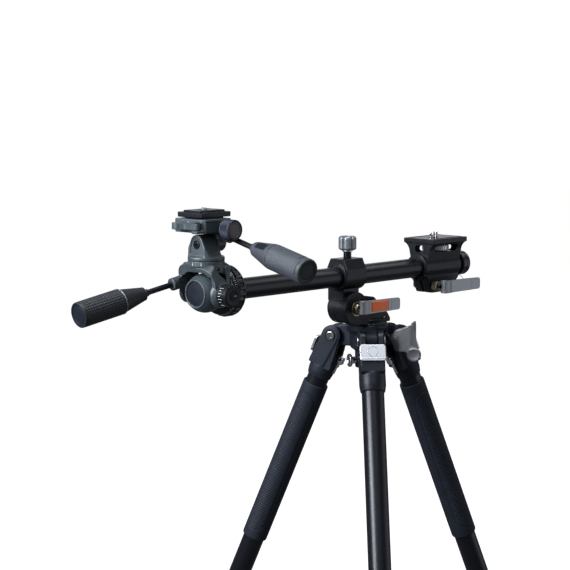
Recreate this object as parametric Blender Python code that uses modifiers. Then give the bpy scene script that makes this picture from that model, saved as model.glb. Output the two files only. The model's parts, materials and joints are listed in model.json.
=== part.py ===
"""Horizontal-arm alt-azimuth mount on a folding tripod, with a pan and tilt head and an accessory plate.

Every length below is in millimetres, and the helpers turn it into metres. Positions are given in the arm's
frame: its origin is on the arm tube's axis under the clamp knob, +X runs along the arm to the accessory
plate and +Z is up. A leg's own frame has its origin on the fold pivot, +X outward and +Z up along the leg.
"""

import math

import bmesh
import bpy
from mathutils import Matrix, Vector

MM = 0.001
FIT = 0.3
ROUND = 16
SMALL = 12
MEDIUM = 20
FINE = 24

# Arm and clamp
ARM_R = 12.5
ARM_BORE = 11.0
ARM_LEFT = -208.0
ARM_RIGHT = 224.0
SWING_X = -2.0
SWING_Z = -40.0
DRUM_R = 19.5
BOLT_R = 4.0
BUSH_R = 14.2
EAR_BACK = 8.8

# Tripod
TRIPOD_X = 38.0
HUB_TOP = -63.0
PIVOT_RADIUS = 44.0
PIVOT_Z = -80.0
SPLAY = math.radians(23.0)
LEG_AZIMUTH = {"front": 227.5, "right": 347.5, "left": 107.5}
GRIPPED_LEGS = ("right", "left")
LUG_HALF = 8.0
YOKE_HALF = 15.0
COLLAR_R = 16.7
PIVOT_HOLE_R = 3.3
UPPER_R = 14.0
MIDDLE_R = 11.0
LOWER_R = 9.0
GRIP_R = 16.5
WALL = 1.4
FOOT_R = 14.0
FOOT_CENTRE = 565.0
LEVER_AZIMUTH = 300.0
LEVER_REACH = 34.5
LEVER_HINGE = (37.0, -80.0)
LEVER_KNOB = (65.5, -99.5)
KNOB_AZIMUTH = 150.0
KNOB_Z = -110.0
ARM_HEIGHT = -PIVOT_Z + FOOT_CENTRE * math.cos(SPLAY) + FOOT_R

# Accessory bracket
PLATE_X = (138.0, 208.0)
PLATE_Y = 25.0
PLATE_TOP = 37.5
PLATE_THICK = 6.3
WHEEL_Z = 24.0
BRACKET_BOLT_X = 153.0
BRACKET_BOLT_Z = -24.0

# Head
TILT_X = -246.0
TOWER_X = -244.0
SIDE_Z = 58.0
CLAMP_Z = (71.0, 87.0)
RING_FACE = 219.0
BARREL_CENTRE = 246.0
BARREL_R = 23.0
YOKE_IN = 24.3
YOKE_NEAR = 31.5
TRUNNION_R = 5.0
TRUNNION_HALF = 29.5
PLATE_CENTRE = (-1.0, 2.0)
LEVER_EYE = (-29.5, -15.5)
LEFT_HANDLE = ((-10.5, 27.5, 12.4), (-0.975, 0.11, -0.19))
RIGHT_HANDLE = ((15.5, -14, 9.2), (-0.08, -0.97, -0.215))
SHANK_R = 3.3
HANDLE_R = 15.0

# The model's origin is under the middle of its outline, which is off the arm's origin by this much.
ORIGIN_X = -46.4
ORIGIN_Y = 28.75

UP = (0, 0, 1)
EAST = (1, 0, 0)
WEST = (-1, 0, 0)
BACK = (0, 1, 0)
NEAR = (0, -1, 0)


# ---------------------------------------------------------------- helpers

def clear_scene():
    for obj in list(bpy.data.objects):
        bpy.data.objects.remove(obj, do_unlink=True)


def collection(name):
    made = bpy.data.collections.new(name)
    bpy.context.scene.collection.children.link(made)
    return made


def aim(at, z_dir=UP, x_hint=EAST):
    """A frame at a point, with its Z along z_dir and its X as near x_hint as that allows."""
    z = Vector(z_dir).normalized()
    x = Vector(x_hint)
    x = (x - z * x.dot(z)).normalized()
    turn = Matrix((x, z.cross(x), z)).transposed().to_4x4()
    return Matrix.Translation(Vector(at) * MM) @ turn


def shift(x, y, z=0.0):
    return Matrix.Translation(Vector((x, y, z)) * MM)


def pivot(name, parent, place):
    """An empty on a joint's axis, which carries the pieces that move with it."""
    empty = bpy.data.objects.new(name, None)
    empty.empty_display_size = 10 * MM
    parts.objects.link(empty)
    empty.parent = parent
    empty.matrix_basis = place
    return empty


def hang(name, data, parent, place):
    obj = bpy.data.objects.new(name, data)
    cutters.objects.link(obj)
    obj.hide_render = True
    obj.display_type = "WIRE"
    obj.parent = parent
    obj.matrix_basis = place
    return obj


def turned(name, parent, place, profile, steps=ROUND):
    """Turns (radius, height) points about the local Z axis. They run down the outer side."""
    mesh = bpy.data.meshes.new(name)
    points = [(r * MM, 0, z * MM) for r, z in profile]
    edges = [(i, i + 1) for i in range(len(points) - 1)]
    if profile[0][0] > 0:
        edges.append((len(points) - 1, 0))
    mesh.from_pydata(points, edges, [])
    obj = hang(name, mesh, parent, place)
    screw = obj.modifiers.new("turn", "SCREW")
    screw.steps = steps
    screw.render_steps = steps
    screw.use_merge_vertices = True
    screw.merge_threshold = 0.00001
    screw.use_smooth_shade = True
    return obj


def rod(name, parent, place, radius, low, high, steps=ROUND):
    return turned(name, parent, place, [(0, high), (radius, high), (radius, low), (0, low)], steps)


def tube(name, parent, place, outer, inner, low, high, steps=ROUND):
    ring = [(outer, high), (outer, low), (inner, low), (inner, high)]
    return turned(name, parent, place, ring, steps)


def block(name, parent, place, size, centre=(0, 0, 0), bevel=0.0):
    mesh = bpy.data.meshes.new(name)
    bm = bmesh.new()
    bmesh.ops.create_cube(bm, size=1.0)
    bmesh.ops.scale(bm, verts=bm.verts, vec=Vector(size) * MM)
    bmesh.ops.translate(bm, verts=bm.verts, vec=Vector(centre) * MM)
    bm.to_mesh(mesh)
    bm.free()
    obj = hang(name, mesh, parent, place)
    if bevel:
        edge = obj.modifiers.new("bevel", "BEVEL")
        edge.width = bevel * MM
        edge.segments = 1
    return obj


def prism(name, parent, place, outline, low, high):
    """A flat outline in the local XY plane, given thickness along local Z from low to high."""
    curve = bpy.data.curves.new(name, "CURVE")
    curve.dimensions = "2D"
    curve.fill_mode = "BOTH"
    curve.extrude = (high - low) / 2 * MM
    spline = curve.splines.new("POLY")
    spline.points.add(len(outline) - 1)
    for point, (x, y) in zip(spline.points, outline):
        point.co = (x * MM, y * MM, 0, 1)
    spline.use_cyclic_u = True
    middle = Matrix.Translation((0, 0, (high + low) / 2 * MM))
    flat = hang(name + "_outline", curve, parent, place @ middle)
    evaluated = flat.evaluated_get(bpy.context.evaluated_depsgraph_get())
    mesh = bpy.data.meshes.new_from_object(evaluated)
    bm = bmesh.new()
    bm.from_mesh(mesh)
    bmesh.ops.remove_doubles(bm, verts=bm.verts, dist=0.000001)
    bmesh.ops.recalc_face_normals(bm, faces=bm.faces)
    bm.to_mesh(mesh)
    bm.free()
    bpy.data.objects.remove(flat, do_unlink=True)
    return hang(name, mesh, parent, place @ middle)


def arc(centre, radius, start, end, points=7):
    """Points on an arc in a plane, from one angle in degrees to another."""
    angles = [math.radians(start + (end - start) * i / (points - 1)) for i in range(points)]
    return [(centre[0] + radius * math.cos(a), centre[1] + radius * math.sin(a)) for a in angles]


def boolean(target, operation, tools):
    for tool in tools:
        step = target.modifiers.new(tool.name, "BOOLEAN")
        step.operation = operation
        step.object = tool


def join(target, *tools):
    boolean(target, "UNION", tools)


def cut(target, *tools):
    boolean(target, "DIFFERENCE", tools)


def material(name, colour, roughness, metallic=0.0):
    made = bpy.data.materials.new(name)
    made.use_nodes = True
    shader = made.node_tree.nodes["Principled BSDF"]
    shader.inputs["Base Color"].default_value = (*colour, 1)
    shader.inputs["Roughness"].default_value = roughness
    shader.inputs["Metallic"].default_value = metallic
    return made


def finish(obj, name, look):
    """Makes a shape one of the object's own pieces."""
    cutters.objects.unlink(obj)
    parts.objects.link(obj)
    obj.hide_render = False
    obj.display_type = "TEXTURED"
    obj.name = name
    colour, roughness, metallic = LOOKS[look]
    obj.data.materials.append(material(name, colour, roughness, metallic))
    if obj.data.polygons:
        obj.data.shade_smooth()
        obj.data.set_sharp_from_angle(angle=math.radians(35))
    return obj


LOOKS = {
    "black_anodised": ((0.012, 0.013, 0.017), 0.32, 0.6),
    "casting": ((0.016, 0.019, 0.027), 0.5, 0.0),
    "head_grey": ((0.055, 0.068, 0.075), 0.42, 0.2),
    "silver": ((0.62, 0.62, 0.64), 0.3, 1.0),
    "steel": ((0.45, 0.44, 0.42), 0.25, 1.0),
    "brass": ((0.5, 0.42, 0.25), 0.35, 1.0),
    "rubber": ((0.018, 0.021, 0.028), 0.75, 0.0),
    "orange": ((0.62, 0.11, 0.02), 0.45, 0.0),
    "nylon": ((0.03, 0.03, 0.03), 0.5, 0.0),
}


# ---------------------------------------------------------------- tripod

def polar(radius, degrees, z):
    """A point at a radius and an azimuth about the tripod's axis."""
    a = math.radians(degrees)
    return (TRIPOD_X + radius * math.cos(a), radius * math.sin(a), z)


def outward(degrees):
    a = math.radians(degrees)
    return Vector((math.cos(a), math.sin(a), 0))


def spider(model):
    axis = aim((TRIPOD_X, 0, 0))
    hub = turned("hub", model, axis, [
        (0, HUB_TOP), (25, HUB_TOP), (26, -66), (26, -72), (21, -76), (21, -94),
        (15, -98), (15, -120), (0, -120),
    ], FINE)
    for degrees in LEG_AZIMUTH.values():
        out = outward(degrees)
        side = Vector(UP).cross(out)
        # The lug's outline lies in the plane of the leg: X outward, Y up, thickness along -side.
        plane = aim((TRIPOD_X, 0, 0), -side, out)
        outline = [(12, -92), (12, -66)]
        outline += arc((PIVOT_RADIUS, PIVOT_Z), 10, 80, -90, 9)
        lug = prism("lug", hub.parent, plane, outline, -LUG_HALF, LUG_HALF)
        hole = rod("lug_hole", hub.parent, plane @ shift(PIVOT_RADIUS, PIVOT_Z), PIVOT_HOLE_R, -20, 20,
                   SMALL)
        join(hub, lug)
        cut(hub, hole)
    boss = rod("lever_boss", model, lever_line(), 7, 15, 26)
    stub = rod("lever_stub", model, lever_line(), 4, 15, LEVER_REACH - 4.6)
    join(hub, boss, stub)
    finish(hub, "spider_casting", "casting")


def lever_line():
    """The spider lever's bolt line, from the tripod's axis outward."""
    return aim(polar(0, LEVER_AZIMUTH, -80), outward(LEVER_AZIMUTH), UP)


def column_lock_knob(model):
    place = aim(polar(0, KNOB_AZIMUTH, KNOB_Z), outward(KNOB_AZIMUTH), UP)
    body = pivot("column_lock_knob_pivot", model, place)
    knob = turned("knob", body, Matrix(), [
        (0, 25), (7.5, 25), (8.5, 24), (8.5, 22), (7.5, 21), (3, 21), (3, 15 + FIT), (0, 15 + FIT),
    ])
    finish(knob, "column_lock_knob", "silver")


def spider_lever(model):
    out = outward(LEVER_AZIMUTH)
    side = Vector(UP).cross(out)
    hinge = LEVER_HINGE
    body = pivot("spider_lever_pivot", model, aim(polar(LEVER_REACH, LEVER_AZIMUTH, hinge[1]), -side, out))
    outline = [
        (41, -71), (47, -69.5), (56, -65.5), (59, -63), (64, -63), (64, -84), (68, -98), (64, -104),
        (58, -101), (54, -95), (50, -96.5), (41, -95),
    ] + arc(hinge, 4, 270, 90, 5)
    outline = [(x - hinge[0], z - hinge[1]) for x, z in outline]
    saddle = prism("saddle", body, Matrix(), outline, -12, 12)
    finish(saddle, "spider_lever", "silver")
    knob_place = shift(LEVER_KNOB[0] - hinge[0], LEVER_KNOB[1] - hinge[1])
    knob_body = pivot("spider_disc_knob_pivot", body, knob_place)
    disc = turned("disc", knob_body, Matrix(), [
        (0, 17.5), (7.5, 17.5), (9, 16.2), (9, 13.4), (8, 12 + FIT), (0, 12 + FIT),
    ])
    finish(disc, "spider_disc_knob", "silver")


def leg(model, name):
    degrees = LEG_AZIMUTH[name]
    out = outward(degrees)
    along = Vector(UP) * math.cos(SPLAY) - out * math.sin(SPLAY)
    body = pivot(name + "_leg_pivot", model, aim(polar(PIVOT_RADIUS, degrees, PIVOT_Z), along, out))
    gripped = name in GRIPPED_LEGS
    yoke(body, name, -60.0 if gripped else -66.0)
    pivot_bolt(body, name)
    angle_stop(body, name)
    finish(tube("tube", body, Matrix(), UPPER_R, UPPER_R - WALL, -430, -36.5), name + "_upper_tube",
           "black_anodised")
    if gripped:
        sleeve = turned("sleeve", body, Matrix(), [
            (GRIP_R - 1, -70), (GRIP_R, -72), (GRIP_R, -298), (GRIP_R - 1, -300), (UPPER_R + FIT, -300),
            (UPPER_R + FIT, -70),
        ])
        finish(sleeve, name + "_grip", "rubber")
    lock(body, name + "_lock_1", 17.0, UPPER_R, MIDDLE_R, -412, -452, -431)
    middle = pivot(name + "_middle_slide", body, Matrix())
    finish(tube("tube", middle, Matrix(), MIDDLE_R, MIDDLE_R - WALL, -477.5, -75), name + "_middle_tube",
           "black_anodised")
    lock(middle, name + "_lock_2", 15.0, MIDDLE_R, LOWER_R, -454, -494, -478)
    lower = pivot(name + "_lower_slide", middle, Matrix())
    finish(tube("tube", lower, Matrix(), LOWER_R, LOWER_R - WALL, -530, -110), name + "_lower_tube",
           "black_anodised")
    foot(lower, name)


def yoke(body, name, bottom):
    """The forked casting at the top of a leg: two cheeks round the lug and a socket for the tube."""
    side_on = aim((0, 0, 0), NEAR, EAST)
    outline = arc((0, 0), 13, 180, 0, 9) + [(15, -22), (15, -42), (-15, -42), (-15, -22)]
    fork = prism("fork", body, side_on, outline, -YOKE_HALF, YOKE_HALF)
    collar = turned("collar", body, Matrix(), [
        (0, -38), (COLLAR_R, -38), (COLLAR_R, bottom + 5), (COLLAR_R - 1.5, bottom), (0, bottom),
    ], MEDIUM)
    slot = block("slot", body, Matrix(), (40, 2 * LUG_HALF + 2 * FIT, 50), (0, 0, 1))
    socket = rod("socket", body, Matrix(), UPPER_R + FIT, bottom - 5, -36, MEDIUM)
    hole = rod("hole", body, aim((0, 0, 0), BACK, UP), PIVOT_HOLE_R, -20, 20, SMALL)
    join(fork, collar)
    cut(fork, slot, socket, hole)
    finish(fork, name + "_yoke", "casting")


def pivot_bolt(body, name):
    far = YOKE_HALF + FIT
    bolt = turned("bolt", body, aim((0, 0, 0), BACK, UP), [
        (0, far + 2.5), (5, far + 2.5), (6, far + 1.5), (6, far), (3, far), (3, -far), (6, -far),
        (6, -far - 1.5), (5, -far - 2.5), (0, -far - 2.5),
    ], SMALL)
    finish(bolt, name + "_pivot_bolt", "steel")


def angle_stop(body, name):
    slide = pivot(name + "_stop_slide", body, Matrix())
    plate = block("plate", slide, Matrix(), (4.2, 32.5, 21), (17.5, 0, -19.5), 1.2)
    tongue = block("tongue", slide, Matrix(), (8, 14, 9), (13, 0, -17.5))
    join(plate, tongue)
    finish(plate, name + "_angle_stop", "silver")


def lock(body, name, outer, wide, narrow, top, bottom, step):
    """A twist lock: it grips the end of one tube and closes on the next one inside it."""
    ring = [
        (outer - 1.5, top), (outer, top - 2), (outer, bottom + 3), (outer - 2.5, bottom),
        (narrow + FIT, bottom), (narrow + FIT, step - FIT), (wide + FIT, step - FIT), (wide + FIT, top),
    ]
    twist = pivot(name + "_twist", body, Matrix())
    finish(turned("ring", twist, Matrix(), ring), name, "rubber")


def foot(body, name):
    dome = [(FOOT_R * math.cos(a), -FOOT_CENTRE - FOOT_R * math.sin(a))
            for a in (math.radians(30 * i) for i in range(3))]
    profile = [(12, -498), (13, -500), (13, -545)] + dome + [(0, -FOOT_CENTRE - FOOT_R)]
    shape = turned("dome", body, Matrix(), [(0, -498)] + profile)
    cut(shape, rod("socket", body, Matrix(), LOWER_R + FIT, -531, -490))
    finish(shape, name + "_foot", "rubber")


# ---------------------------------------------------------------- clamp and swing joint

def base_foot(turntable):
    """The turning base: a foot disc on the tripod's axis, with an ear that carries the swing bolt."""
    disc = turned("disc", turntable, Matrix(), [
        (0, -56), (24, -56), (25, -57), (25, HUB_TOP + FIT), (0, HUB_TOP + FIT),
    ], FINE)
    edge_on = aim((-TRIPOD_X, 0, 0), NEAR, EAST)
    ear_outline = [(62.5, -57), (58, -50), (30, -27)]
    ear_outline += arc((SWING_X, SWING_Z), 21, 50, 268, 15) + [(38, -61.5), (62.5, -61.5)]
    ear = prism("ear", turntable, edge_on, ear_outline, EAR_BACK, 18)
    gusset = [(62.5, -57.5), (56, -50), (38, -38), (24, -38), (24, -57.5)]
    rib = prism("rib", turntable, edge_on, gusset, -10, 10)
    clearance = rod("clearance", turntable, swing_frame(), DRUM_R + 1.2, -30, EAR_BACK - 0.01, FINE)
    bolt_hole = rod("bolt_hole", turntable, swing_frame(), BOLT_R + FIT, -30, 30)
    join(disc, rib)
    cut(disc, clearance)
    join(disc, ear)
    cut(disc, bolt_hole)
    finish(disc, "base_foot", "black_anodised")


def swing_frame():
    """The swing axis in the turntable's frame, with Z towards the lever."""
    return aim((SWING_X - TRIPOD_X, 0, SWING_Z), NEAR, EAST)


def arm_clamp(body):
    """The collar round the arm, its neck and the swing drum, in the swing joint's frame."""
    to_arm = Matrix.Translation(Vector((-SWING_X, 0, -SWING_Z)) * MM)
    along = to_arm @ aim((0, 0, 0), EAST, BACK)
    collar = rod("collar", body, along, 17.5, -21, 18, FINE)
    roof_outline = [(-17.5, 0), (17.5, 0), (17.5, 12), (11, 22.5), (-11, 22.5), (-17.5, 12)]
    roof = prism("roof", body, to_arm @ aim((0, 0, 0), EAST, BACK), roof_outline, -19, 16)
    neck = block("neck", body, Matrix(), (30, 26.5, 18), (0, 4.65, 18))
    drum = turned("drum", body, aim((0, 0, 0), BACK, UP), [
        (0, 18), (16.5, 18), (DRUM_R, 15), (DRUM_R, -8.5), (0, -8.5),
    ], FINE)
    bore = rod("bore", body, along, BUSH_R + FIT, -30, 30, MEDIUM)
    tap = rod("tap", body, to_arm, 5.5, 10, 30, SMALL)
    bolt_hole = rod("bolt_hole", body, aim((0, 0, 0), BACK, UP), BOLT_R + FIT, -30, 30)
    join(collar, roof, neck, drum)
    cut(collar, bore, tap, bolt_hole)
    finish(collar, "arm_clamp", "black_anodised")


def clamp_knob(body):
    knob = turned("knob", body, Matrix(), [
        (0, 50), (9.5, 50), (11.5, 48), (11.5, 33), (9, 30.5), (5.2, 29), (5.2, 16), (0, 16),
    ], SMALL)
    finish(knob, "clamp_knob", "silver")


def swing_bolt(turntable):
    bolt = turned("bolt", turntable, swing_frame(), [
        (0, 24), (7, 24), (7, 18 + FIT), (BOLT_R, 18 + FIT), (BOLT_R, -18 - FIT), (9, -18 - FIT),
        (8, -20.5), (0, -20.5),
    ])
    finish(bolt, "swing_bolt", "steel")


def cam_lever(body, name, length, insert=False):
    """A cam lever seen from above: a round cam on the bolt, then a long, slightly bowed plate."""
    outline = arc((0, 0), 6, 0, 230, 9)
    outline += [(2, -5.2), (8, -3.6), (length * 0.45, -3.2), (length - 6, -4.6), (length, -4.2)]
    outline += [(length, -0.8), (length - 6, -1.2), (length * 0.45, 0.6), (8, 0.8)]
    lever = prism("lever", body, Matrix(), outline, -8.2, 8.2)
    if insert:
        cut(lever, block("recess", body, Matrix(), (32.6, 20, 10.6), (27, -1, 0)))
    finish(lever, name, "silver")
    if insert:
        finish(block("pad", body, Matrix(), (32, 5, 10), (27, -1.8, 0), 0.6), "lever_insert", "orange")


# ---------------------------------------------------------------- arm and accessory bracket

def arm_tube(body):
    finish(tube("tube", body, Matrix(), ARM_R, ARM_BORE, ARM_LEFT, ARM_RIGHT, MEDIUM), "arm_tube",
           "black_anodised")


def collar_bush(body):
    finish(tube("bush", body, Matrix(), BUSH_R, ARM_R + FIT, -20, 17, MEDIUM), "collar_bush", "nylon")


def end_ring(body):
    ring = turned("ring", body, Matrix(), [
        (0, 228), (15, 228), (16, 227), (16, 214), (ARM_R + FIT, 214), (ARM_R + FIT, 224 + FIT),
        (0, 224 + FIT),
    ], MEDIUM)
    finish(ring, "arm_end_ring", "black_anodised")


def bracket(body):
    """The accessory plate on its open neck, the sleeve on the arm and the two pinch ears below."""
    middle_x = sum(PLATE_X) / 2
    length = PLATE_X[1] - PLATE_X[0]
    along = aim((0, 0, 0), EAST, BACK)
    sleeve = rod("sleeve", body, along, 17.2, 134, 206, FINE)
    plate_size = (length, 2 * PLATE_Y, PLATE_THICK)
    plate = block("plate", body, Matrix(), plate_size, (middle_x, 0, PLATE_TOP - PLATE_THICK / 2))
    neck_outline = [(-13, 5)] + arc((-30.5, 18.5), 14, 5, 62, 6) + [(-24, 33), (24, 33)]
    neck_outline += arc((30.5, 18.5), 14, 118, 175, 6) + [(13, 5)]
    neck = prism("neck", body, along, neck_outline, 140, 206)
    window_y = block("window_y", body, Matrix(), (46, 80, 9), (middle_x, 0, WHEEL_Z))
    window_x = block("window_x", body, Matrix(), (120, 15, 9), (middle_x, 0, WHEEL_Z))
    ears_outline = [(134, -2), (150, -34), (188, -34), (206, -16), (206, -2)]
    ears = prism("ears", body, aim((0, 0, 0), NEAR, EAST), ears_outline, -13.5, 13.5)
    split = block("split", body, Matrix(), (120, 3, 50), (middle_x, 0, -30))
    bore = rod("bore", body, along, ARM_R + FIT, 100, 240, MEDIUM)
    bolt_line = aim((BRACKET_BOLT_X, 0, BRACKET_BOLT_Z), NEAR, EAST)
    bolt_hole = rod("bolt_hole", body, bolt_line, 3.3, -30, 30, SMALL)
    stud_hole = rod("stud_hole", body, aim((middle_x, 0, 0)), 3.6, 25, 50, SMALL)
    join(sleeve, plate, neck, ears)
    cut(sleeve, window_y, window_x, bore, split, bolt_hole, stud_hole)
    finish(sleeve, "bracket", "black_anodised")


def bracket_screw(body):
    screw = turned("screw", body, Matrix(), [
        (0, 46), (3.1, 45.5), (3.1, 28), (17.5, 28), (17.5, 20.2), (0, 20.2),
    ], MEDIUM)
    finish(screw, "bracket_screw", "silver")


def bracket_bolt(body):
    bolt = turned("bolt", body, aim((BRACKET_BOLT_X, 0, BRACKET_BOLT_Z), NEAR, EAST), [
        (0, 27), (2.8, 27), (2.8, 23), (6, 23), (6, 13.5 + FIT), (3, 13.5 + FIT), (3, -13.5 - FIT),
        (5.5, -13.5 - FIT), (5.5, -17), (0, -17),
    ], SMALL)
    finish(bolt, "bracket_bolt", "brass")


# ---------------------------------------------------------------- head

def head_base_ring(body):
    ring = turned("ring", body, aim((0, 0, 0), WEST, UP), [
        (0, 224), (10, 224), (10, RING_FACE), (29, RING_FACE), (30.5, 217.5), (30.5, 209.5),
        (29.5, 208 + FIT), (ARM_BORE - FIT, 208 + FIT), (ARM_BORE - FIT, 192), (0, 192),
    ], FINE)
    finish(ring, "head_base_ring", "black_anodised")


def head_body(body):
    barrel = [(BARREL_R * math.cos(a), BARREL_CENTRE + BARREL_R * math.sin(a))
              for a in (math.radians(44 - 11 * i) for i in range(9))]
    profile = [(0, 262), (17.5, 262)] + barrel + [
        (21, 226), (27, 226), (28.8, RING_FACE + FIT), (10 + FIT, RING_FACE + FIT), (10 + FIT, 224 + FIT),
        (0, 224 + FIT),
    ]
    shape = turned("barrel", body, aim((0, 0, 0), WEST, UP), profile, FINE)
    trunnion = rod("trunnion", body, aim((TILT_X, 0, 0), NEAR, EAST), TRUNNION_R, -TRUNNION_HALF,
                   TRUNNION_HALF, MEDIUM)
    join(shape, trunnion)
    finish(shape, "head_body", "head_grey")


def tilt_dial(body):
    """The drag dial on the near end of the tilt axis, with the short screw that enters the yoke."""
    dial = turned("dial", body, Matrix(), [
        (0, 15.3), (11.8, 15.3), (13, 14.1), (13, FIT), (3, FIT), (3, -1.4), (0, -1.4),
    ], FINE)
    finish(dial, "tilt_dial", "black_anodised")


def tilt_yoke(body):
    """The arch over the barrel, with a disc on each trunnion and the turntable flange on top."""
    across = aim((0, 0, 0), EAST, BACK)
    outer = [(-30, 0)] + arc((-14, 20), 16, 180, 100, 6) + arc((14, 20), 16, 80, 0, 6) + [(30, 0)]
    inner = [(YOKE_IN, 0)] + arc((10.3, 12), 14, 0, 90, 6) + arc((-10.3, 12), 14, 90, 180, 6)
    inner += [(-YOKE_IN, 0)]
    arch = prism("arch", body, across, outer + inner, -12, 12)
    near_disc = rod("near_disc", body, aim((0, 0, 0), NEAR, EAST), 13.5, YOKE_IN, YOKE_NEAR)
    far_disc = rod("far_disc", body, aim((0, 0, 0), BACK, EAST), 13.5, YOKE_IN, 31)
    flange = rod("flange", body, aim((TOWER_X - TILT_X, 0, 0)), 21.5, 30, 37.8, FINE)
    sleeve = rod("sleeve", body, aim(*LEFT_HANDLE, UP), 7.5, -12, 16)
    space = rod("space", body, aim((0, 0, 0), NEAR, EAST), 25.5, -YOKE_IN, YOKE_IN, FINE)
    trunnion_hole = rod("trunnion_hole", body, aim((0, 0, 0), NEAR, EAST), TRUNNION_R + FIT,
                        -TRUNNION_HALF - FIT, TRUNNION_HALF + FIT, MEDIUM)
    dial_hole = rod("dial_hole", body, aim((0, 0, 0), NEAR, EAST), 3 + FIT, 20, 40, SMALL)
    socket = rod("socket", body, aim(*LEFT_HANDLE, UP), SHANK_R + FIT, 2, 20, SMALL)
    join(arch, near_disc, far_disc, flange, sleeve)
    cut(arch, space, trunnion_hole, dial_hole, socket)
    finish(arch, "tilt_yoke", "head_grey")


def tower(body):
    foot_disc = rod("foot_disc", body, Matrix(), 21.5, 38.1, 42, FINE)
    outline = [(-18, 41)] + arc((0, SIDE_Z), 10, 155, 25, 7) + [(18, 41)]
    fin = prism("fin", body, aim((0, 0, 0), EAST, BACK), outline, -16, 8)
    pin = rod("pin", body, aim((0, 0, SIDE_Z), EAST, BACK), 4, 0, 21)
    join(foot_disc, fin, pin)
    finish(foot_disc, "tower", "head_grey")


def qr_clamp(body):
    """The platform above the tower, hung on a knuckle behind the fin. Heights are from the tilt axis."""
    floor = CLAMP_Z[0] - SIDE_Z
    top = CLAMP_Z[1] - SIDE_Z
    outline = [(-24.5, -17.5), (-21, -22), (19.5, -22), (19.5, 27), (-24.5, 27)]
    deck = prism("deck", body, Matrix(), outline, floor, top)
    knuckle_outline = arc((0, 0), 11, 180, 360, 9) + [(14, 8), (14, floor + 2), (-14, floor + 2), (-14, 8)]
    knuckle = prism("knuckle", body, aim((0, 0, 0), EAST, BACK), knuckle_outline, 8.5, 22.5)
    boss = rod("boss", body, aim(*RIGHT_HANDLE, UP), 6.5, -6, 13)
    well = block("well", body, Matrix(), (36, 32, 8), (PLATE_CENTRE[0], PLATE_CENTRE[1], top))
    pin_hole = rod("pin_hole", body, aim((0, 0, 0), EAST, BACK), 4 + FIT, 0, 21.5)
    socket = rod("socket", body, aim(*RIGHT_HANDLE, UP), SHANK_R + FIT, 2, 20, SMALL)
    eye_seat = block("eye_seat", body, Matrix(), (16, 9, 3.5), (-26, LEVER_EYE[1], floor + 1.75))
    eye_pin = rod("eye_pin", body, aim((LEVER_EYE[0], LEVER_EYE[1], 0)), 1.8, floor + 2, floor + 13, SMALL)
    join(deck, knuckle, boss, eye_seat, eye_pin)
    cut(deck, well, pin_hole, socket)
    finish(deck, "qr_clamp", "head_grey")


def qr_plate(body):
    plate = block("plate", body, Matrix(), (47, 40, 6), (0, 0, 91.5), 0.8)
    foot_block = block("foot", body, Matrix(), (35, 31, 6), (0, 0, 86.4))
    pad = block("pad", body, Matrix(), (40, 28, 3), (0, 0, 95))
    hole = rod("hole", body, Matrix(), 3.2 + FIT, 80, 100, SMALL)
    well = rod("well", body, Matrix(), 9, 80, 87.5, MEDIUM)
    join(plate, foot_block, pad)
    cut(plate, hole, well)
    finish(plate, "qr_plate", "black_anodised")


def plate_screw(body):
    screw = turned("screw", body, Matrix(), [
        (0, 99), (3.1, 98.5), (3.1, 87), (8.5, 87), (8.5, 83.8), (0, 83.8),
    ], MEDIUM)
    finish(screw, "plate_screw", "steel")


def qr_lever(body):
    outline = arc((0, 0), 4, 200, 330, 5) + [(2.6, 14), (2.6, 33), (-3, 35)]
    outline += arc((-3, 28), 7, 100, 230, 5) + [(-3.4, 17), (-3.8, 6)]
    arm = prism("arm", body, Matrix(), outline, 75.2, 83)
    cut(arm, rod("eye", body, Matrix(), 1.8 + FIT, 70, 90, SMALL))
    finish(arm, "qr_lever", "head_grey")


def side_knob(body):
    knob = turned("knob", body, Matrix(), [
        (0, 23), (10.5, 23), (12, 21.5), (12, 8.5), (11, 7.5), (4.5, 7.5), (4.5, FIT), (0, FIT),
    ], MEDIUM)
    finish(knob, "side_knob", "casting")


def handle(body, side):
    shank = rod("shank", body, Matrix(), SHANK_R, 2.4, 86, SMALL)
    finish(shank, side + "_handle_rod", "black_anodised")
    grip = turned("grip", body, Matrix(), [
        (0, 147), (14, 147), (HANDLE_R, 146), (HANDLE_R, 89), (8, 56), (SHANK_R + FIT, 56),
        (SHANK_R + FIT, 87), (0, 87),
    ])
    finish(grip, side + "_handle_grip", "rubber")


# ---------------------------------------------------------------- assembly

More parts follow.
